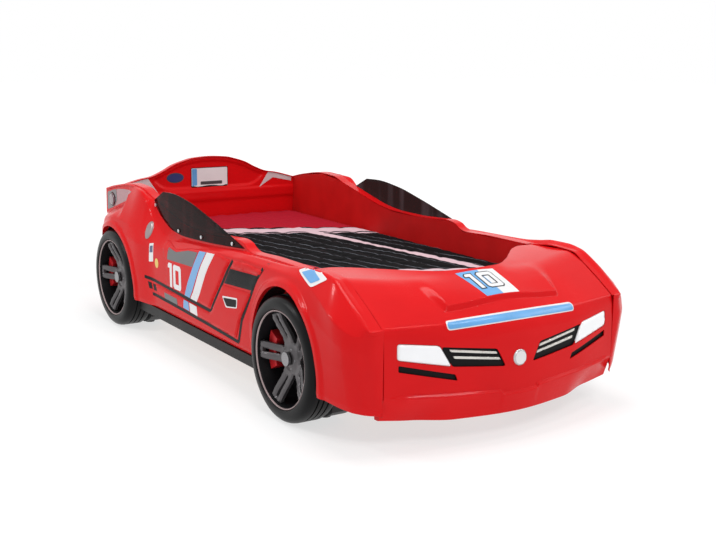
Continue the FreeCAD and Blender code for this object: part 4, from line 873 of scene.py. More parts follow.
def tail_row(x):
    top = ARCH(x)
    outline = [
        (HEAD, top), (TAIL - 6, top - 2), (TAIL, top - 16), (TAIL - 3, LEDGE - 82), (TAIL, WAIST + 24),
        (TAIL, HEM - 44), (TAIL - 10, HEM - 54), (TAIL - 28, HEM - 54),
    ]
    return [np.array((x, y, z)) for y, z in rounded(outline, TAIL_RADII, TAIL_COUNTS)]


tail_rows = [tail_row(x) for x in np.linspace(-HALF + 0.5, HALF - 0.5, 121)]
red_skin("tail_skin", [p for row in tail_rows for p in row], grid_faces(len(tail_rows), len(tail_rows[0])),
         "tail_shell")

# ---- doors and side graphics
CUT_REAR = [(574, 277), (300, 266), (-41, 254)]
CUT_MIDDLE = [(-40, 252), (-62, 282), (-155, 394), (-222, 478)]
CUT_FRONT = [(-258, 186), (-295, 275), (-395, 421), (-470, 508)]
CUT_BOTTOM = [(520, 212), (300, 206), (0, 196), (-258, 184)]
DOOR_PANEL = [
    (372, 279), (300, 275), (-30, 264), (-52, 290), (-143, 400), (-202, 474),
    (-100, 484), (11, 477), (150, 462), (269, 438), (345, 448), (396, 458), (408, 430), (362, 372),
]
FENDER_TOP = [(-216, 452), (-232, 480), (-340, 486), (-448, 480), (-438, 464)]
FENDER_BAND = [(-208, 446), (-428, 457), (-384, 398), (-160, 384)]
FENDER_LOW = [
    (-148, 376), (-50, 258), (-30, 246), (300, 257), (480, 262), (470, 222), (300, 215), (0, 205),
    (-240, 195), (-284, 275), (-370, 386),
]
DOOR_RISE = 5.0
ON_DOOR = DOOR_RISE + 0.5
STRIPE_BLUE = [(52, 468), (-8, 473), (60, 380), (112, 300), (136, 270), (182, 272), (150, 330), (92, 410)]
STRIPE_WHITE = [(-16, 474), (-82, 478), (-10, 388), (46, 300), (72, 268), (128, 270), (102, 300), (50, 384)]
GREY_BLOCK = [(342, 436), (262, 430), (150, 454), (66, 460), (104, 398), (342, 388)]
VENTS = ((536, 246), (496, 244), (450, 240), (412, 236))

# settings, then the patches that share them: name, outline, material, lift, depth, corner radius
DOOR_FORMS = (
    # black strips along the door cuts: black paint in the cuts, with the cuts' shade painted in as well
    ({"slot": "black_plastic"}, [
        ("door_groove_rear", strip(CUT_REAR, 14), black_film, 0.3, 1.5),
        ("door_groove_middle", strip(CUT_MIDDLE, 14), black_film, 0.3, 1.5),
        ("door_groove_front", strip(CUT_FRONT, 15), black_film, 0.3, 1.5),
        ("door_groove_low", strip(CUT_BOTTOM, 14), black_film, 0.3, 1.5)]),
    ({"edge": 3.5, "spacing": 7, "slot": "red_shell", "angle": 60}, [
        ("door_panel", DOOR_PANEL, shell_red, DOOR_RISE, 7, 12),
        ("door_fender_top", FENDER_TOP, shell_red, DOOR_RISE, 7, 8),
        ("door_fender_low", FENDER_LOW, shell_red, DOOR_RISE, 7, 10)]),
    ({"edge": 1.2, "slot": "black_plastic"}, [("door_band", FENDER_BAND, black_film, 2.0, 3.2, 6)]),
)
DOOR_STRIPES = (
    ({}, [
        ("stripe_blue", STRIPE_BLUE, blue_film, ON_DOOR, 1),
        ("stripe_white", STRIPE_WHITE, white_film, ON_DOOR, 1),
        ("stripe_blue_low", [(152, 250), (196, 252), (205, 217), (150, 214)], blue_film, ON_DOOR, 1),
        ("stripe_white_low", [(78, 247), (144, 250), (142, 213), (76, 210)], white_film, ON_DOOR, 1),
        ("grey_block", GREY_BLOCK, grey_film, ON_DOOR, 1)]),
)
SIDE_LABELS = (
    ({}, [
        ("shield", [(-150, 336), (-272, 350), (-268, 312), (-180, 298)], white_film, ON_DOOR, 1, 8),
        ("shield_face", [(-160, 331), (-266, 343), (-262, 315), (-186, 304)], black_film,
         ON_DOOR + 0.4, 1, 6),
        ("label", [(528, 424), (494, 430), (500, 352), (536, 346)], white_film, 0.6, 1, 5),
        ("label_face", [(524, 414), (499, 419), (502, 390), (528, 386)], navy_film, 0.9, 1, 3),
        ("spot", oval(464, 351, 17, 20, 20), yellow_film, 0.8, 1),
        ("plate", [(388, 244), (262, 241), (262, 216), (386, 219)], grey_film, ON_DOOR, 1, 4)]),
    ({"spacing": 4}, [
        ("wing_label", [(-672, 523), (-748, 550), (-845, 522), (-791, 489)], white_film, 1.5, 2.0, 10),
        ("wing_label_face", [(-700, 521), (-748, 538), (-815, 517), (-780, 500)], blue_film, 2.9, 2.4, 6)]),
    ({}, [
        (f"vent_{k}", [(y + 14, z + 14), (y - 14, z + 12), (y - 20, z - 14), (y + 8, z - 14)],
         black_film, 0.8, 1.6, 3) for k, (y, z) in enumerate(VENTS)]),
)

DIGIT_ONE = [(30, 0), (30, 100), (2, 100), (-6, 92), (-6, 82), (12, 82), (12, 0)]
DIGIT_ZERO = [(9, 0), (65, 0), (74, 9), (74, 91), (65, 100), (9, 100), (0, 91), (0, 9)]
ZERO_HOLE = [(22, 18), (52, 18), (56, 22), (56, 78), (52, 82), (22, 82), (18, 78), (18, 22)]
DIGIT_WIDTHS = (30, 74)


def number(name, view, u, v, height, material, lift, way=1, gap=18, fat=0.0):
    """The plain number 10 in upright strokes of one width, which fat makes heavier."""
    scale = height / 100
    middle = (sum(DIGIT_WIDTHS) + gap) / 2
    for label, loops, shift in (("one", [DIGIT_ONE], 0),
                                ("nought", [DIGIT_ZERO, ZERO_HOLE], DIGIT_WIDTHS[0] + gap)):
        outer, *holes = [[(u + way * (x + shift - middle) * scale, v + (y - 50) * scale)
                          for x, y in shrunk(loop, fat if k else -fat)] for k, loop in enumerate(loops)]
        follow(f"{name}_{label}", view, outer, material, lift, 1.0, holes=holes, spacing=7)


def dress(hand, table):
    """Puts a table of patches on one side of the bed."""
    for settings, patches in table:
        for label, *values in patches:
            follow(f"{hand}_{label}", hand, *values, **settings)


for hand, _ in SIDES:
    dress(hand, DOOR_FORMS)
for hand, side in SIDES:
    dress(hand, DOOR_STRIPES)
    number(f"{hand}_number", hand, 272, 329, 94, white_film, ON_DOOR + 0.2, side, fat=2)
    dress(hand, SIDE_LABELS)

# ---- front fittings and bonnet graphics
for hand, side in SIDES:
    follow(f"{hand}_lens", "nose", mirrored(LENS, side), lens_white, 3.0, 9, 10, edge=4.0, spacing=7,
           slot="lens_white", angle=70, replaces=f"{hand}_headlamp_lens")
    follow(f"{hand}_grille_bed", "nose", mirrored(shrunk(softened(GRILLE, 10), -7), side), grille_black,
           -7.0, 5, slot="black_plastic", replaces=f"{hand}_grille")
    for k, bar in enumerate(GRILLE_BARS):
        follow(f"{hand}_grille_bar_{k}", "nose", mirrored(bar, side), bright_trim, -1.0, 7, 3, edge=2.0,
               spacing=5, slot="silver_plastic", angle=60)
    follow(f"{hand}_air_slot_bed", "nose", mirrored(shrunk(softened(AIR_SLOT, 4), -8), side),
           grille_black, -7.5, 5, slot="black_plastic", replaces=f"{hand}_air_slot")

follow("nose_badge_disc", "nose", disc(0, BADGE_Z, BADGE_RADIUS), silver_paint, 5.0, 7, edge=3.5, spacing=4,
       slot="silver_plastic", angle=60, replaces="nose_badge")
follow("nose_badge_field", "nose", disc(0, BADGE_Z, BADGE_RADIUS - 6), white_film, 5.8, 1.5, spacing=5)

BONNET_FRONT, BONNET_REAR = NOSE + 97, NOSE + 236
STRIPE, STRIPE_FLARE = 67, 24
follow("bonnet_stripe_blue", "bonnet", [(-STRIPE, BONNET_FRONT), (0, BONNET_FRONT), (0, BONNET_REAR),
                                        (-STRIPE - STRIPE_FLARE, BONNET_REAR)], blue_film, 0.6)
follow("bonnet_stripe_white", "bonnet", [(0, BONNET_FRONT), (STRIPE, BONNET_FRONT), (STRIPE, BONNET_REAR),
                                         (0, BONNET_REAR)], white_film, 0.6)
number("bonnet_number_line", "bonnet", -14, NOSE + 178, 84, black_film, 1.2, gap=22, fat=5)
number("bonnet_number", "bonnet", -14, NOSE + 178, 84, white_film, 1.8, gap=22)
BANNER_TOP = Line([(-266, 407), (0, 412), (266, 407)])
BANNER_HALF, BANNER_HEIGHT = 264, 26
banner = [(x, BANNER_TOP(x) - BANNER_HEIGHT) for x in np.linspace(-BANNER_HALF, BANNER_HALF, 17)]
banner += [(x, BANNER_TOP(x)) for x in np.linspace(BANNER_HALF, -BANNER_HALF, 17)]
follow("banner_rim", "nose", banner, white_film, 0.7, 1.2, 11, spacing=6)
follow("banner_field", "nose", shrunk(banner, 3.5), blue_film, 1.5, 1.5, 8, spacing=6)

# ---- side windows
PANE_INSIDE, PANE_OUTSIDE, PANE_BEVEL = RIDGE_X - 0.5, RIDGE_X + 3.5, 1.0


def pane(hand, side):
    """Flat window plate standing along Y, its edges eased on both faces."""
    loop = [(y, PANE_LOW(y)) for y in np.linspace(TIP + 2, PANE_REAR, 60)]
    loop += [(y, max(PANE_UPPER(y), PANE_LOW(y) + 1.5)) for y in np.linspace(PANE_REAR - 92, TIP + 2, 50)]
    spots, triangles = flat_patch(loop, [], 12)
    eased = PANE_BEVEL - np.minimum(border_distance([loop], spots), PANE_BEVEL)
    low, high = sorted((side * PANE_INSIDE, side * PANE_OUTSIDE))
    tops = [(high - b, u, v) for (u, v), b in zip(spots, eased)]
    lows = [(low + b, u, v) for (u, v), b in zip(spots, eased)]
    piece(f"{hand}_pane", *slab(tops, lows, triangles), smoked_pane, angle=30, slot="smoked_pane",
          replaces=f"{hand}_window")


for hand, side in SIDES:
    pane(hand, side)

# ---- tail lamps and fuel cap
LAMP = (TAIL - 86, LEDGE + 28)
LAMP_RADIUS = 31.0
LAMP_COVER = [(1134, 484), (1050, 508), (1012, 540), (1020, 592), (1134, 566)]
# outline of the painted reflection beside the tail lamp
LAMP_REFLECTION = [(1044, 510), (872, 562), (800, 606), (925, 602), (1018, 592), (1010, 540)]
for hand, _ in SIDES:
    follow(f"{hand}_lamp_dome", hand, disc(*LAMP, LAMP_RADIUS - 3), lamp_red, 7.0, 10, edge=6.0,
           spacing=5, slot="lamp_red", angle=70, replaces=f"{hand}_tail_lamp")
    follow(f"{hand}_lamp_ring", hand, disc(*LAMP, LAMP_RADIUS), black_film, 3.5, 6,
           holes=[disc(*LAMP, LAMP_RADIUS - 4)], edge=2.0, spacing=5, slot="black_plastic")
    follow(f"{hand}_lamp_cover", hand, LAMP_COVER, lamp_grey, 0.7, 1.5, 12,
           holes=[disc(*LAMP, LAMP_RADIUS + 1)], slot="lamp_red")
    # painted reflection: pale pink patch on the tail beside the lamp
    follow(f"{hand}_lamp_painted_reflection", hand, LAMP_REFLECTION, painted_reflection_film, 0.5, 1.0, 10)
follow("fuel_cap_disc", "right", oval(PANE_REAR - 40, LEDGE - 38, 24, 36), cap_silver, 5.0, 7, edge=3.5,
       spacing=5, slot="silver_plastic", angle=60, replaces="fuel_cap")

# ---- wheels
RIM_EDGE = AXLE_Z - 47
RIM_FACE = TYRE_FACE - 4
TYRE_BACK = PANEL_OUT + 0.6
SPOKE_COUNT = 5
SPOKE_REACH, SPOKE_HALF, HUB_VALLEY = 160.0, 30.0, 58.0
STAR_EDGE, STAR_DEPTH = 4.0, 16
BOLT_CIRCLE = 33
BOLT_RINGS = ((5.2, -6), (5.2, 1.5), (4.2, 2.8), (2.4, 2.8), (2.4, 1.0))
GROOVE_PLACES = (36, 57, 78)


def tyre_profile():
    """Section of a tyre as (radius, x): bead, wall, shoulder and a tread with three grooves."""
    wall = [
        (RIM_EDGE + 0.5, RIM_FACE - 40), (RIM_EDGE + 0.5, RIM_FACE), (RIM_EDGE + 3, RIM_FACE + 3),
        (RIM_EDGE + 8, RIM_FACE + 4), (AXLE_Z - 20, RIM_FACE + 2), (AXLE_Z - 11, RIM_FACE - 3),
        (AXLE_Z - 5, RIM_FACE - 10), (AXLE_Z - 1.5, RIM_FACE - 19), (AXLE_Z, RIM_FACE - 28),
    ]
    tread = []
    for groove in GROOVE_PLACES:
        x = RIM_FACE - groove
        tread += [(AXLE_Z, x + 3), (AXLE_Z - 4, x + 2), (AXLE_Z - 4, x - 2), (AXLE_Z, x - 3)]
    inner = [(AXLE_Z, TYRE_BACK + 12), (AXLE_Z - 4, TYRE_BACK + 3), (AXLE_Z - 12, TYRE_BACK),
             (RIM_EDGE + 0.5, TYRE_BACK)]
    return wall + tread + inner


BARREL_PROFILE = [
    (RIM_EDGE, RIM_FACE - 42), (RIM_EDGE, RIM_FACE - 3), (RIM_EDGE - 3, RIM_FACE - 1.5),
    (RIM_EDGE - 7, RIM_FACE - 4), (RIM_EDGE - 9, RIM_FACE - 12), (RIM_EDGE - 12, TYRE_BACK + 14),
    (RIM_EDGE - 14, TYRE_BACK + 6), (20, TYRE_BACK + 5), (20, TYRE_BACK + 1), (RIM_EDGE - 9, TYRE_BACK + 1),
    (RIM_EDGE - 7, TYRE_BACK + 14),
]
RING_PROFILE = [
    (RIM_EDGE - 1, RIM_FACE - 1.8), (RIM_EDGE - 2.5, RIM_FACE + 0.3), (RIM_EDGE - 5, RIM_FACE - 0.5),
    (RIM_EDGE - 6.5, RIM_FACE - 3.5), (RIM_EDGE - 3, RIM_FACE - 2.5),
]


def swept(profile, side, axle, turns):
    """Points of a profile of (radius, x) at each turn about a wheel's axle."""
    return [(side * x, axle + r * cos(turn), AXLE_Z + r * sin(turn))
            for turn in turns for r, x in profile]


def revolved(name, side, axle, profile, material, replaces=None, count=112):
    """Closed ring about a wheel's axle."""
    verts = swept(profile, side, axle, [2 * pi * k / count for k in range(count)])
    piece(name, verts, grid_faces(count, len(profile), closed=True, looped=True), material, angle=35,
          replaces=replaces)


def spoke_star():
    """Face of a rim: five twin spokes that grow out of a star round the hub, drawn flat."""
    loop, slots = [], []
    half, step = asin(SPOKE_HALF / SPOKE_REACH), pi / SPOKE_COUNT
    for k in range(SPOKE_COUNT):
        turn = 2 * pi * k / SPOKE_COUNT
        loop += [(r * cos(turn + swing), r * sin(turn + swing)) for r, swing in (
            (SPOKE_REACH, -half), (SPOKE_REACH, 0), (SPOKE_REACH, half), (84, 0.345),
            (HUB_VALLEY, step * 0.86), (HUB_VALLEY, step * 1.14), (84, 2 * step - 0.345))]
        slots.append([(u * cos(turn) - v * sin(turn), u * sin(turn) + v * cos(turn))
                      for u, v in softened([(70, -3.5), (148, -7.5), (148, 7.5), (70, 3.5)], 4, 3)])
    return softened(loop, 4, 3), slots


def dish(radius):
    """How far the rim's face lies behind its edge."""
    return 36 + 6 * smoothstep(26, 50, radius) - 31 * smoothstep(52, SPOKE_REACH, radius)


STAR_LOOP, STAR_SLOTS = spoke_star()
STAR_SPOTS, STAR_TRIANGLES = flat_patch(STAR_LOOP, STAR_SLOTS, 5.5)
STAR_FALL = 1.1 * (STAR_EDGE - np.minimum(border_distance([STAR_LOOP] + STAR_SLOTS, STAR_SPOTS), STAR_EDGE))


def star(name, side, axle):
    tops, lows = [], []
    for (u, v), fall in zip(STAR_SPOTS, STAR_FALL):
        x = RIM_FACE - dish(hypot(u, v)) - fall
        tops.append((side * x, axle + u, AXLE_Z + v))
        lows.append((side * (x - STAR_DEPTH + fall), axle + u, AXLE_Z + v))
    piece(name, *slab(tops, lows, STAR_TRIANGLES), rim_paint, angle=32)


def wheel_bolts(name, side, axle):
    """Five bright bolts round the hub, with hollow hexagon heads."""
    verts, faces = [], []
    for k in range(SPOKE_COUNT):
        turn = 2 * pi * (k + 0.5) / SPOKE_COUNT
        cy, cz = axle + BOLT_CIRCLE * cos(turn), AXLE_Z + BOLT_CIRCLE * sin(turn)
        start = len(verts)
        verts += [(side * (RIM_FACE - 40 + lift), cy + radius * cos(a), cz + radius * sin(a))
                  for radius, lift in BOLT_RINGS for a in (pi / 3 * j for j in range(6))]
        faces += [tuple(start + i for i in face) for face in
                  [*grid_faces(len(BOLT_RINGS), 6, closed=True), range(24, 30), range(5, -1, -1)]]
    piece(name, verts, faces, cap_paint, angle=30)


def arch_shade_band(name, side, axle, radius):
    """Black band inside a wheel arch: painted shade for the dark gap between tyre and arch."""
    section = ((radius - 0.6, PANEL_OUT + 3), (radius - 0.6, DOOR + 6), (radius - 1.8, DOOR + 6),
               (radius - 1.8, PANEL_OUT + 3))
    verts = swept(section, side, axle, [radians(-14 + 208 * k / 72) for k in range(73)])
    ends = [(3, 2, 1, 0), tuple(range(len(verts) - 4, len(verts)))]
    piece(name, verts, grid_faces(73, 4, closed=True) + ends, barrel_paint, angle=30)


for end_name, (axle, arch, _) in zip(("front", "rear"), ARCHES):
    for hand, side in SIDES:
        wheel = f"{end_name}_{hand}"
        revolved(wheel + "_tyre_skin", side, axle, tyre_profile(), rubber, wheel + "_tyre")
        revolved(wheel + "_rim_barrel", side, axle, BARREL_PROFILE, barrel_paint, wheel + "_rim")
        revolved(wheel + "_rim_ring", side, axle, RING_PROFILE, rim_edge)
        star(wheel + "_rim_star", side, axle)
        wheel_bolts(wheel + "_wheel_bolts", side, axle)
        # painted shade: a black band fills the gap between tyre and arch
        arch_shade_band(wheel + "_arch_shade_band", side, axle, arch)


# ---- spoiler lips
LIP_SECTION = ((0, 5), (9, 4), (12, 0), (10, -4), (2, -6), (-4, -4))


def lip(name, side):
    """Rounded bar that overhangs the recess of the tail lamp."""
    stations = np.append(np.linspace(REAR - 150, TAIL - 22, 40), [TAIL - 16, TAIL - 11, TAIL - 8, TAIL - 6])
    verts = []
    for y in stations:
        grow = smoothstep(REAR - 150, REAR - 60, y) * (1 - smoothstep(TAIL - 26, TAIL - 4, y) * 0.9)
        verts += [(side * (CREST_OUT(y) - 3 + du * grow), y, CREST(y) - 3 + dv * (0.4 + 0.6 * grow))
                  for du, dv in LIP_SECTION]
    count = len(LIP_SECTION)
    faces = grid_faces(len(stations), count, closed=True)
    faces += [tuple(reversed(range(count))), tuple(range(len(verts) - count, len(verts)))]
    piece(name, verts, faces, shell_red, angle=50, slot="red_shell")


for hand, side in SIDES:
    lip(f"{hand}_spoiler_lip", side)

# ---- headboard
FIELD_POINTS = [(0, 22), (84, 27), (136, 39), (188, 56), (239, 82), (292, 100), (250, 137), (210, 149)]
FIELD_LOOP = softened([(x, ARCH_TOP - drop) for x, drop in FIELD_POINTS]
                      + [(-x, ARCH_TOP - drop) for x, drop in FIELD_POINTS[:0:-1]], 16)
BOARD = 18
HEADBOARD_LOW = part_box("headboard")[0][2] / MM
HEAD_PLATE = [(-97, 561), (97, 561), (97, 655), (-97, 655)]
PLATE_FACE = [(-94, 564), (94, 564), (94, 652), (-94, 652)]
PLATE_BAND = [(-92, 566), (-66, 566), (-66, 650), (-92, 650)]
PLATE_LINE = [(-48, 572), (66, 572), (66, 588), (-48, 588)]
WEDGE = [(322, 624), (448, 586), (448, 566), (343, 588), (268, 545)]


def headboard_sink(z, depth_in_field):
    """How far the moulded front lies behind the foremost plane."""
    if z < 440:
        return 5.0
    upper = 4.0 * smoothstep(537, 552, z)
    field = 5.0 * smoothstep(-4, 5, depth_in_field)
    lower = 5.0 * (1 - smoothstep(484, 504, z))
    return upper + field + lower


def headboard():
    columns, rows = np.linspace(-HALF + 1, HALF - 1, 185), 96
    spots = [(x, z) for x in columns for z in np.linspace(HEADBOARD_LOW, ARCH(x) - 5, rows)]
    depths = border_distance([FIELD_LOOP], spots) * np.where(inside(FIELD_LOOP, spots), 1, -1)
    front = [(x, HEAD + headboard_sink(z, depth), z) for (x, z), depth in zip(spots, depths)]
    faces = grid_faces(len(columns), rows)
    host["head"] = tree_of(front, faces)
    piece("headboard_moulding", *slab(front, [(x, HEAD + BOARD, z) for x, z in spots], faces), shell_red,
          angle=50, slot="red_board", replaces="headboard")


headboard()
badge = oval(-178, 612, 44, 24)
for label, loop, material, lift, depth, soft in (
        ("plate_frame", HEAD_PLATE, black_film, 1.2, 2, 8), ("plate", PLATE_FACE, white_film, 1.8, 2, 6),
        ("plate_band", PLATE_BAND, blue_film, 2.2, 1, 4), ("plate_line", PLATE_LINE, grey_film, 2.2, 1, 4),
        ("badge", badge, grey_film, 1.0, 2, 0), ("badge_field", shrunk(badge, 4), navy_film, 1.4, 2, 0),
        ("wedge_left", WEDGE, pale_film, 0.8, 1.5, 0),
        ("wedge_right", mirrored(WEDGE, -1), pale_film, 0.8, 1.5, 0)):
    follow("head_" + label, "head", loop, material, lift, depth, soft)

# ---- mattress and bedspread
MATTRESS_BOX, SPREAD_BOX = ([[c / MM for c in corner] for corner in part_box(name)]
                            for name in ("mattress", "bedspread"))
SEAM_PITCH = 92
SPREAD_CLOTH = 5.0
PUFF_CAP, PUFF_FRAMES = 4.0, 20
CLOTH_SETTINGS = {
    "quality": 5, "mass": 0.15, "tension_stiffness": 12, "compression_stiffness": 12,
    "bending_stiffness": 0.3, "use_pressure": True, "uniform_pressure_force": 4, "shrink_min": -0.03,
}
PAD_CLEARANCE = 2.5
PIPING_RADIUS, PIPING_CORNER = 2.6, 14


def value_noise(x, y, size, seed):
    """Smooth pseudo-random height from sines, between -1 and 1."""
    a, b = x / size, y / size
    return (sin(a * 1.7 + seed) * sin(b * 1.3 + seed * 2.1)
            + 0.5 * sin(a * 3.1 + b * 2.3 + seed * 1.3)
            + 0.3 * sin(a * 5.3 - b * 4.7 + seed * 3.7)) / 1.8


def padded_block(low, high, edge, height, columns, rows, side_steps, bulge):
    """Cushion surface: a top grid that turns over its edges and runs down to the base."""
    xs = np.linspace(low[0] + edge, high[0] - edge, columns)
    ys = np.linspace(low[1] + edge, high[1] - edge, rows)
    verts = [(x, y, height(x, y)) for x in xs for y in ys]
    faces = grid_faces(columns, rows)
    ring = grid_border(columns, rows)
    previous = [i * rows + j for i, j in ring]
    steps = [(edge * sin(t), edge * (1 - cos(t))) for t in (pi / 8 * k for k in range(1, 5))]
    steps += [(edge, edge + (high[2] - edge - low[2]) * (k + 1) / side_steps) for k in range(side_steps)]
    for out, down in steps:
        current = list(range(len(verts), len(verts) + len(ring)))
        for i, j in ring:
            nx = (i == columns - 1) - (i == 0)
            ny = (j == rows - 1) - (j == 0)
            turn = 0.80 if nx and ny else 1.0
            top = height(xs[i], ys[j])
            x, y = xs[i] + nx * out * turn, ys[j] + ny * out * turn
            z = top - down * (top - low[2]) / (high[2] - low[2])
            shift = bulge(x, y, z)
            verts.append((x + nx * shift, y + ny * shift, z))
        faces += [(a, b, d, c) for (a, b), (c, d) in zip(pairs(previous), pairs(current))]
        previous = current
    return verts, faces, previous


def quilt_height(x, y):
    """Top of the bedspread: crowned, with sewn channels along the bed and slack between them."""
    low, high = SPREAD_BOX
    across_bed = 1 - (2 * x / (high[0] - low[0])) ** 4
    channel = seam_distance(x, y)
    slack = 0.8 * value_noise(x, y, 70, 1.0) + 0.6 * value_noise(x, y, 26, 5.0)
    return high[2] - 5.6 + 2.6 * across_bed + 2.0 * channel ** 0.5 + slack * 0.6


def seam_distance(x, y):
    """Distance of a point on the bedspread from the nearest sewn line, as a share of their pitch."""
    return abs(sin(pi * (x + 18 * sin(y / 420)) / SEAM_PITCH))


def puffed(thing, held):
    """Blows the cloth up between its sewn lines, and keeps only where the points come to rest."""
    group = thing.vertex_groups.new(name="sewn")
    group.add(held, 1.0, "REPLACE")
    cloth = thing.modifiers.new("Cloth", "CLOTH")
    cloth.settings.vertex_group_mass = group.name
    for key, value in CLOTH_SETTINGS.items():
        setattr(cloth.settings, key, value)
    cloth.settings.effector_weights.gravity = 0
    cloth.collision_settings.use_collision = False
    scene = bpy.context.scene
    for moment in range(1, PUFF_FRAMES + 1):
        scene.frame_set(moment)
    rested = thing.evaluated_get(bpy.context.evaluated_depsgraph_get())
    places = [v.co.copy() for v in rested.to_mesh().vertices]
    rested.to_mesh_clear()
    thing.modifiers.clear()
    thing.vertex_groups.clear()
    scene.frame_set(1)
    for vertex, place in zip(thing.data.vertices, places):
        move = place - vertex.co
        if move.length > PUFF_CAP * MM:
            move *= PUFF_CAP * MM / move.length
        vertex.co += move


def bedspread():
    low, high = SPREAD_BOX

    def hem_wave(x, y, z):
        return 0.8 * sin(y / 31 + x / 27) * (z < high[2] - 20) - 0.9

    verts, faces, _ = padded_block(low, high, 13, quilt_height, 73, 149, 6, hem_wave)
    thing = new_object("bedspread_quilt", verts, outward(verts, faces))
    puffed(thing, [k for k, (x, y, z) in enumerate(verts)
                   if z < high[2] - 30 or seam_distance(x, y) < 0.2])
    with_modifiers(thing, [("SUBSURF", {"levels": 1}),
                           ("SOLIDIFY", {"thickness": SPREAD_CLOTH * MM, "offset": -1.0})])
    finish_mesh(thing, spread_cloth, 60)
    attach(thing, "mattress")
    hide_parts("bedspread")


def mattress():
    low, high = MATTRESS_BOX
    low = [low[0] + PAD_CLEARANCE, low[1] + PAD_CLEARANCE, low[2] + 0.5]
    high = [high[0] - PAD_CLEARANCE, high[1] - PAD_CLEARANCE, high[2]]

    def crown(x, y):
        return high[2] - 0.6 - 1.2 * (2 * x / 892) ** 2 + 0.4 * value_noise(x, y, 90, 2.0)

    verts, faces, hem = padded_block(low, high, 18, crown, 61, 121, 10,
                                     lambda x, y, z: 1.8 * sin(pi * (z - low[2]) / 106) - 0.2)
    middle = (low[1] + high[1]) / 2
    faces += [(a, b, len(verts)) for a, b in pairs(hem)]
    verts.append((0, middle, low[2]))
    pad = piece("mattress_pad", verts, faces, mattress_cloth, "mattress", 60, "mattress_cloth", "mattress")
    half_x, half_y = high[0] + 0.2 - PIPING_CORNER, (high[1] - low[1]) / 2 + 0.2 - PIPING_CORNER
    points = [(half_x * sx + PIPING_CORNER * cos(a), middle + half_y * sy + PIPING_CORNER * sin(a))
              for k, (sx, sy) in enumerate(((1, 1), (-1, 1), (-1, -1), (1, -1)))
              for a in (pi / 2 * (k + t / 6) for t in range(7))]
    for name, z in (("top", high[2] - 17), ("bottom", low[2] + 8)):
        piping(name, [(x, y, z) for x, y in points])


def piping(name, points):
    """Round cord sewn along an edge of the mattress."""
    curve = bpy.data.curves.new(f"piping_{name}", "CURVE")
    curve.dimensions = "3D"
    curve.bevel_depth = PIPING_RADIUS * MM
    spline = curve.splines.new("POLY")
    spline.points.add(len(points) - 1)
    for spot, place in zip(spline.points, points):
        spot.co = (*(c * MM for c in place), 1)
    spline.use_cyclic_u = True
    curve.materials.append(mattress_cloth)
    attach(linked(f"mattress_piping_{name}", curve), "mattress")


bedspread()
mattress()

# ---- finishes of the remaining parts
CARRIED = (
    (board_red, "left_side_panel right_side_panel foot_panel"),
    (pine, "left_mattress_ledge right_mattress_ledge centre_beam centre_leg"),
    (pine, "base_board_1 base_board_2 base_board_3"),
    (black_board, "front_left_leg front_right_leg rear_left_leg rear_right_leg"),
    (grey_felt, "floor_glides"), (zinc, "frame_bolts window_screws harness_clips"), (cap_paint, "wheel_caps"),
    (caliper_paint, "brake_calipers"), (sill_plastic, "left_sill right_sill light_switch"),
    (black_plastic, "left_headlamp_housing right_headlamp_housing light_control_box power_inlet"),
    (solder_green, "left_led_board right_led_board"),
    (lead_rubber, "right_lamp_lead left_lamp_lead power_lead"),
)
for material, nodes in CARRIED:
    for node in nodes.split():
        mesh = bpy.data.objects[node].data
        if not mesh.materials:
            mesh.materials.append(material)
        for k in range(len(mesh.materials)):
            mesh.materials[k] = material

# ---- camera, floor and light
CAMERA_PLACE = Vector((-2.290144, -3.703082, 1.235065))
CAMERA_AZIMUTH = radians(-33.148)
CAMERA_ELEVATION = radians(11.497)
CAMERA_ROLL = radians(0.698)
CAMERA_LENS, CAMERA_SENSOR = 55.44, 36
WORLD_LIGHT, FLOOR_GLOW = 0.45, 1.12
FLOOR_HALF = 30

# name, place, target, size, power
STUDIO_LIGHTS = (
    ("key", (-1.0, -4.2, 3.4), (0, -0.3, 0.2), (1.1, 1.1), 54),
    ("fill", (3.4, -2.2, 2.6), (0, 0, 0.3), (1.6, 1.6), 18),
    ("top", (0, -0.2, 4.2), (0, 0, 0), (1.8, 1.8), 82),
    ("rear", (-3.2, 1.6, 2.2), (0, 0.2, 0.4), (0.7, 0.7), 20),
    ("glint_bonnet", (1.55, -1.9, 3.6), (1.55, -1.1, 0.4), (1.3, 0.16), 16),
    ("glint_wing", (-2.6, 0.7, 2.7), (-0.5, -0.9, 0.4), (0.35, 0.35), 14),
)


def camera():
    data = bpy.data.cameras.new("camera")
    data.lens = CAMERA_LENS
    data.sensor_width = CAMERA_SENSOR
    data.clip_end = 60
    thing = linked("camera", data)
    thing.matrix_world = (Matrix.Translation(CAMERA_PLACE) @ Matrix.Rotation(CAMERA_AZIMUTH, 4, "Z")
                          @ Matrix.Rotation(pi / 2 - CAMERA_ELEVATION, 4, "X")
                          @ Matrix.Rotation(CAMERA_ROLL, 4, "Z"))
    bpy.context.scene.camera = thing


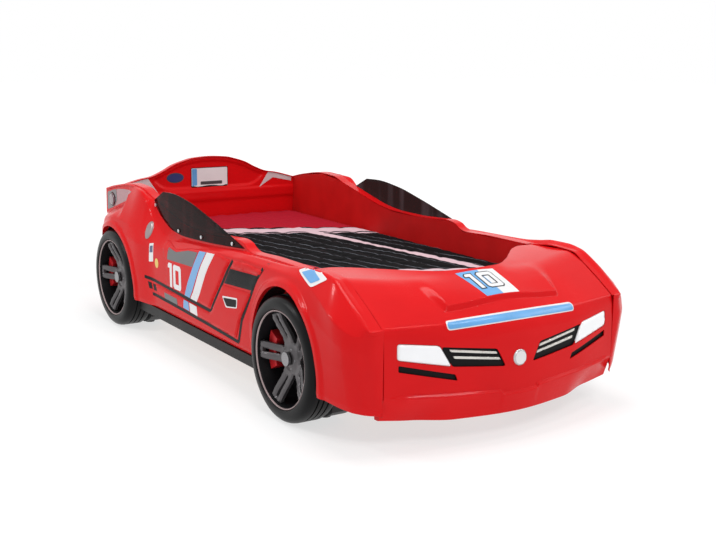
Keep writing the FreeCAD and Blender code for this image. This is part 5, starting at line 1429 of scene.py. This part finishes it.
def floor():
    """Floor of the studio: it keeps the bed's shadow and glows to plain white away from it."""
    material, tree, shader = material_of("pale_floor")
    vector = object_coordinates(tree)
    patches = ranged(tree, noise(tree, vector, 2.0), 0, 1)
    feed(tree, shader, {"Base Color": blended(tree, patches, (0.92, 0.92, 0.92), (0.94, 0.94, 0.94)),
                        "Roughness": 0.9, "Specular IOR Level": 0.1})
    away = above(tree, output(tree, "VectorMath", {0: vector}, "Value", operation="LENGTH"), 3.0, 1.3)
    glow = output(tree, "Emission", {"Color": (1, 1, 1, 1), "Strength": FLOOR_GLOW})
    share = ranged(tree, away, 0.58, 1.0, 0.0, 1.0)
    mix = output(tree, "MixShader", {0: share, 1: shader.outputs[0], 2: glow})
    feed(tree, next(n for n in tree.nodes if n.type == "OUTPUT_MATERIAL"), {"Surface": mix})
    mesh = bpy.data.meshes.new("floor")
    corners = [(FLOOR_HALF * x, FLOOR_HALF * y, 0) for x, y in ((-1, -1), (1, -1), (1, 1), (-1, 1))]
    mesh.from_pydata(corners, [], [(0, 1, 2, 3)])
    mesh.materials.append(material)
    linked("floor", mesh)


def surroundings():
    """World that lights the bed softly, and is plain white to the camera, gloss and glass."""
    world = bpy.data.worlds.new("studio")
    bpy.context.scene.world = world
    world.use_nodes = True
    tree = world.node_tree
    light = next(n for n in tree.nodes if n.type == "BACKGROUND")
    feed(tree, light, {"Color": (1, 1, 1, 1), "Strength": WORLD_LIGHT})
    white = output(tree, "Background", {"Color": (1, 1, 1, 1), "Strength": 1.0})
    path = tree.nodes.new("ShaderNodeLightPath").outputs
    seen = combined(tree, "MAXIMUM", path["Is Camera Ray"],
                    combined(tree, "MAXIMUM", path["Is Glossy Ray"], path["Is Transmission Ray"]))
    mix = output(tree, "MixShader", {0: seen, 1: light.outputs[0], 2: white})
    feed(tree, next(n for n in tree.nodes if n.type == "OUTPUT_WORLD"), {"Surface": mix})


def lights():
    for name, place, target, size, power in STUDIO_LIGHTS:
        data = bpy.data.lights.new(name, "AREA")
        data.shape = "RECTANGLE"
        data.size, data.size_y = size
        data.energy = power
        lamp = linked(name, data)
        lamp.location = place
        lamp.rotation_euler = (Vector(target) - Vector(place)).to_track_quat("-Z", "Y").to_euler()


camera()
floor()
surroundings()
lights()
bpy.context.scene.view_settings.view_transform = "Standard"
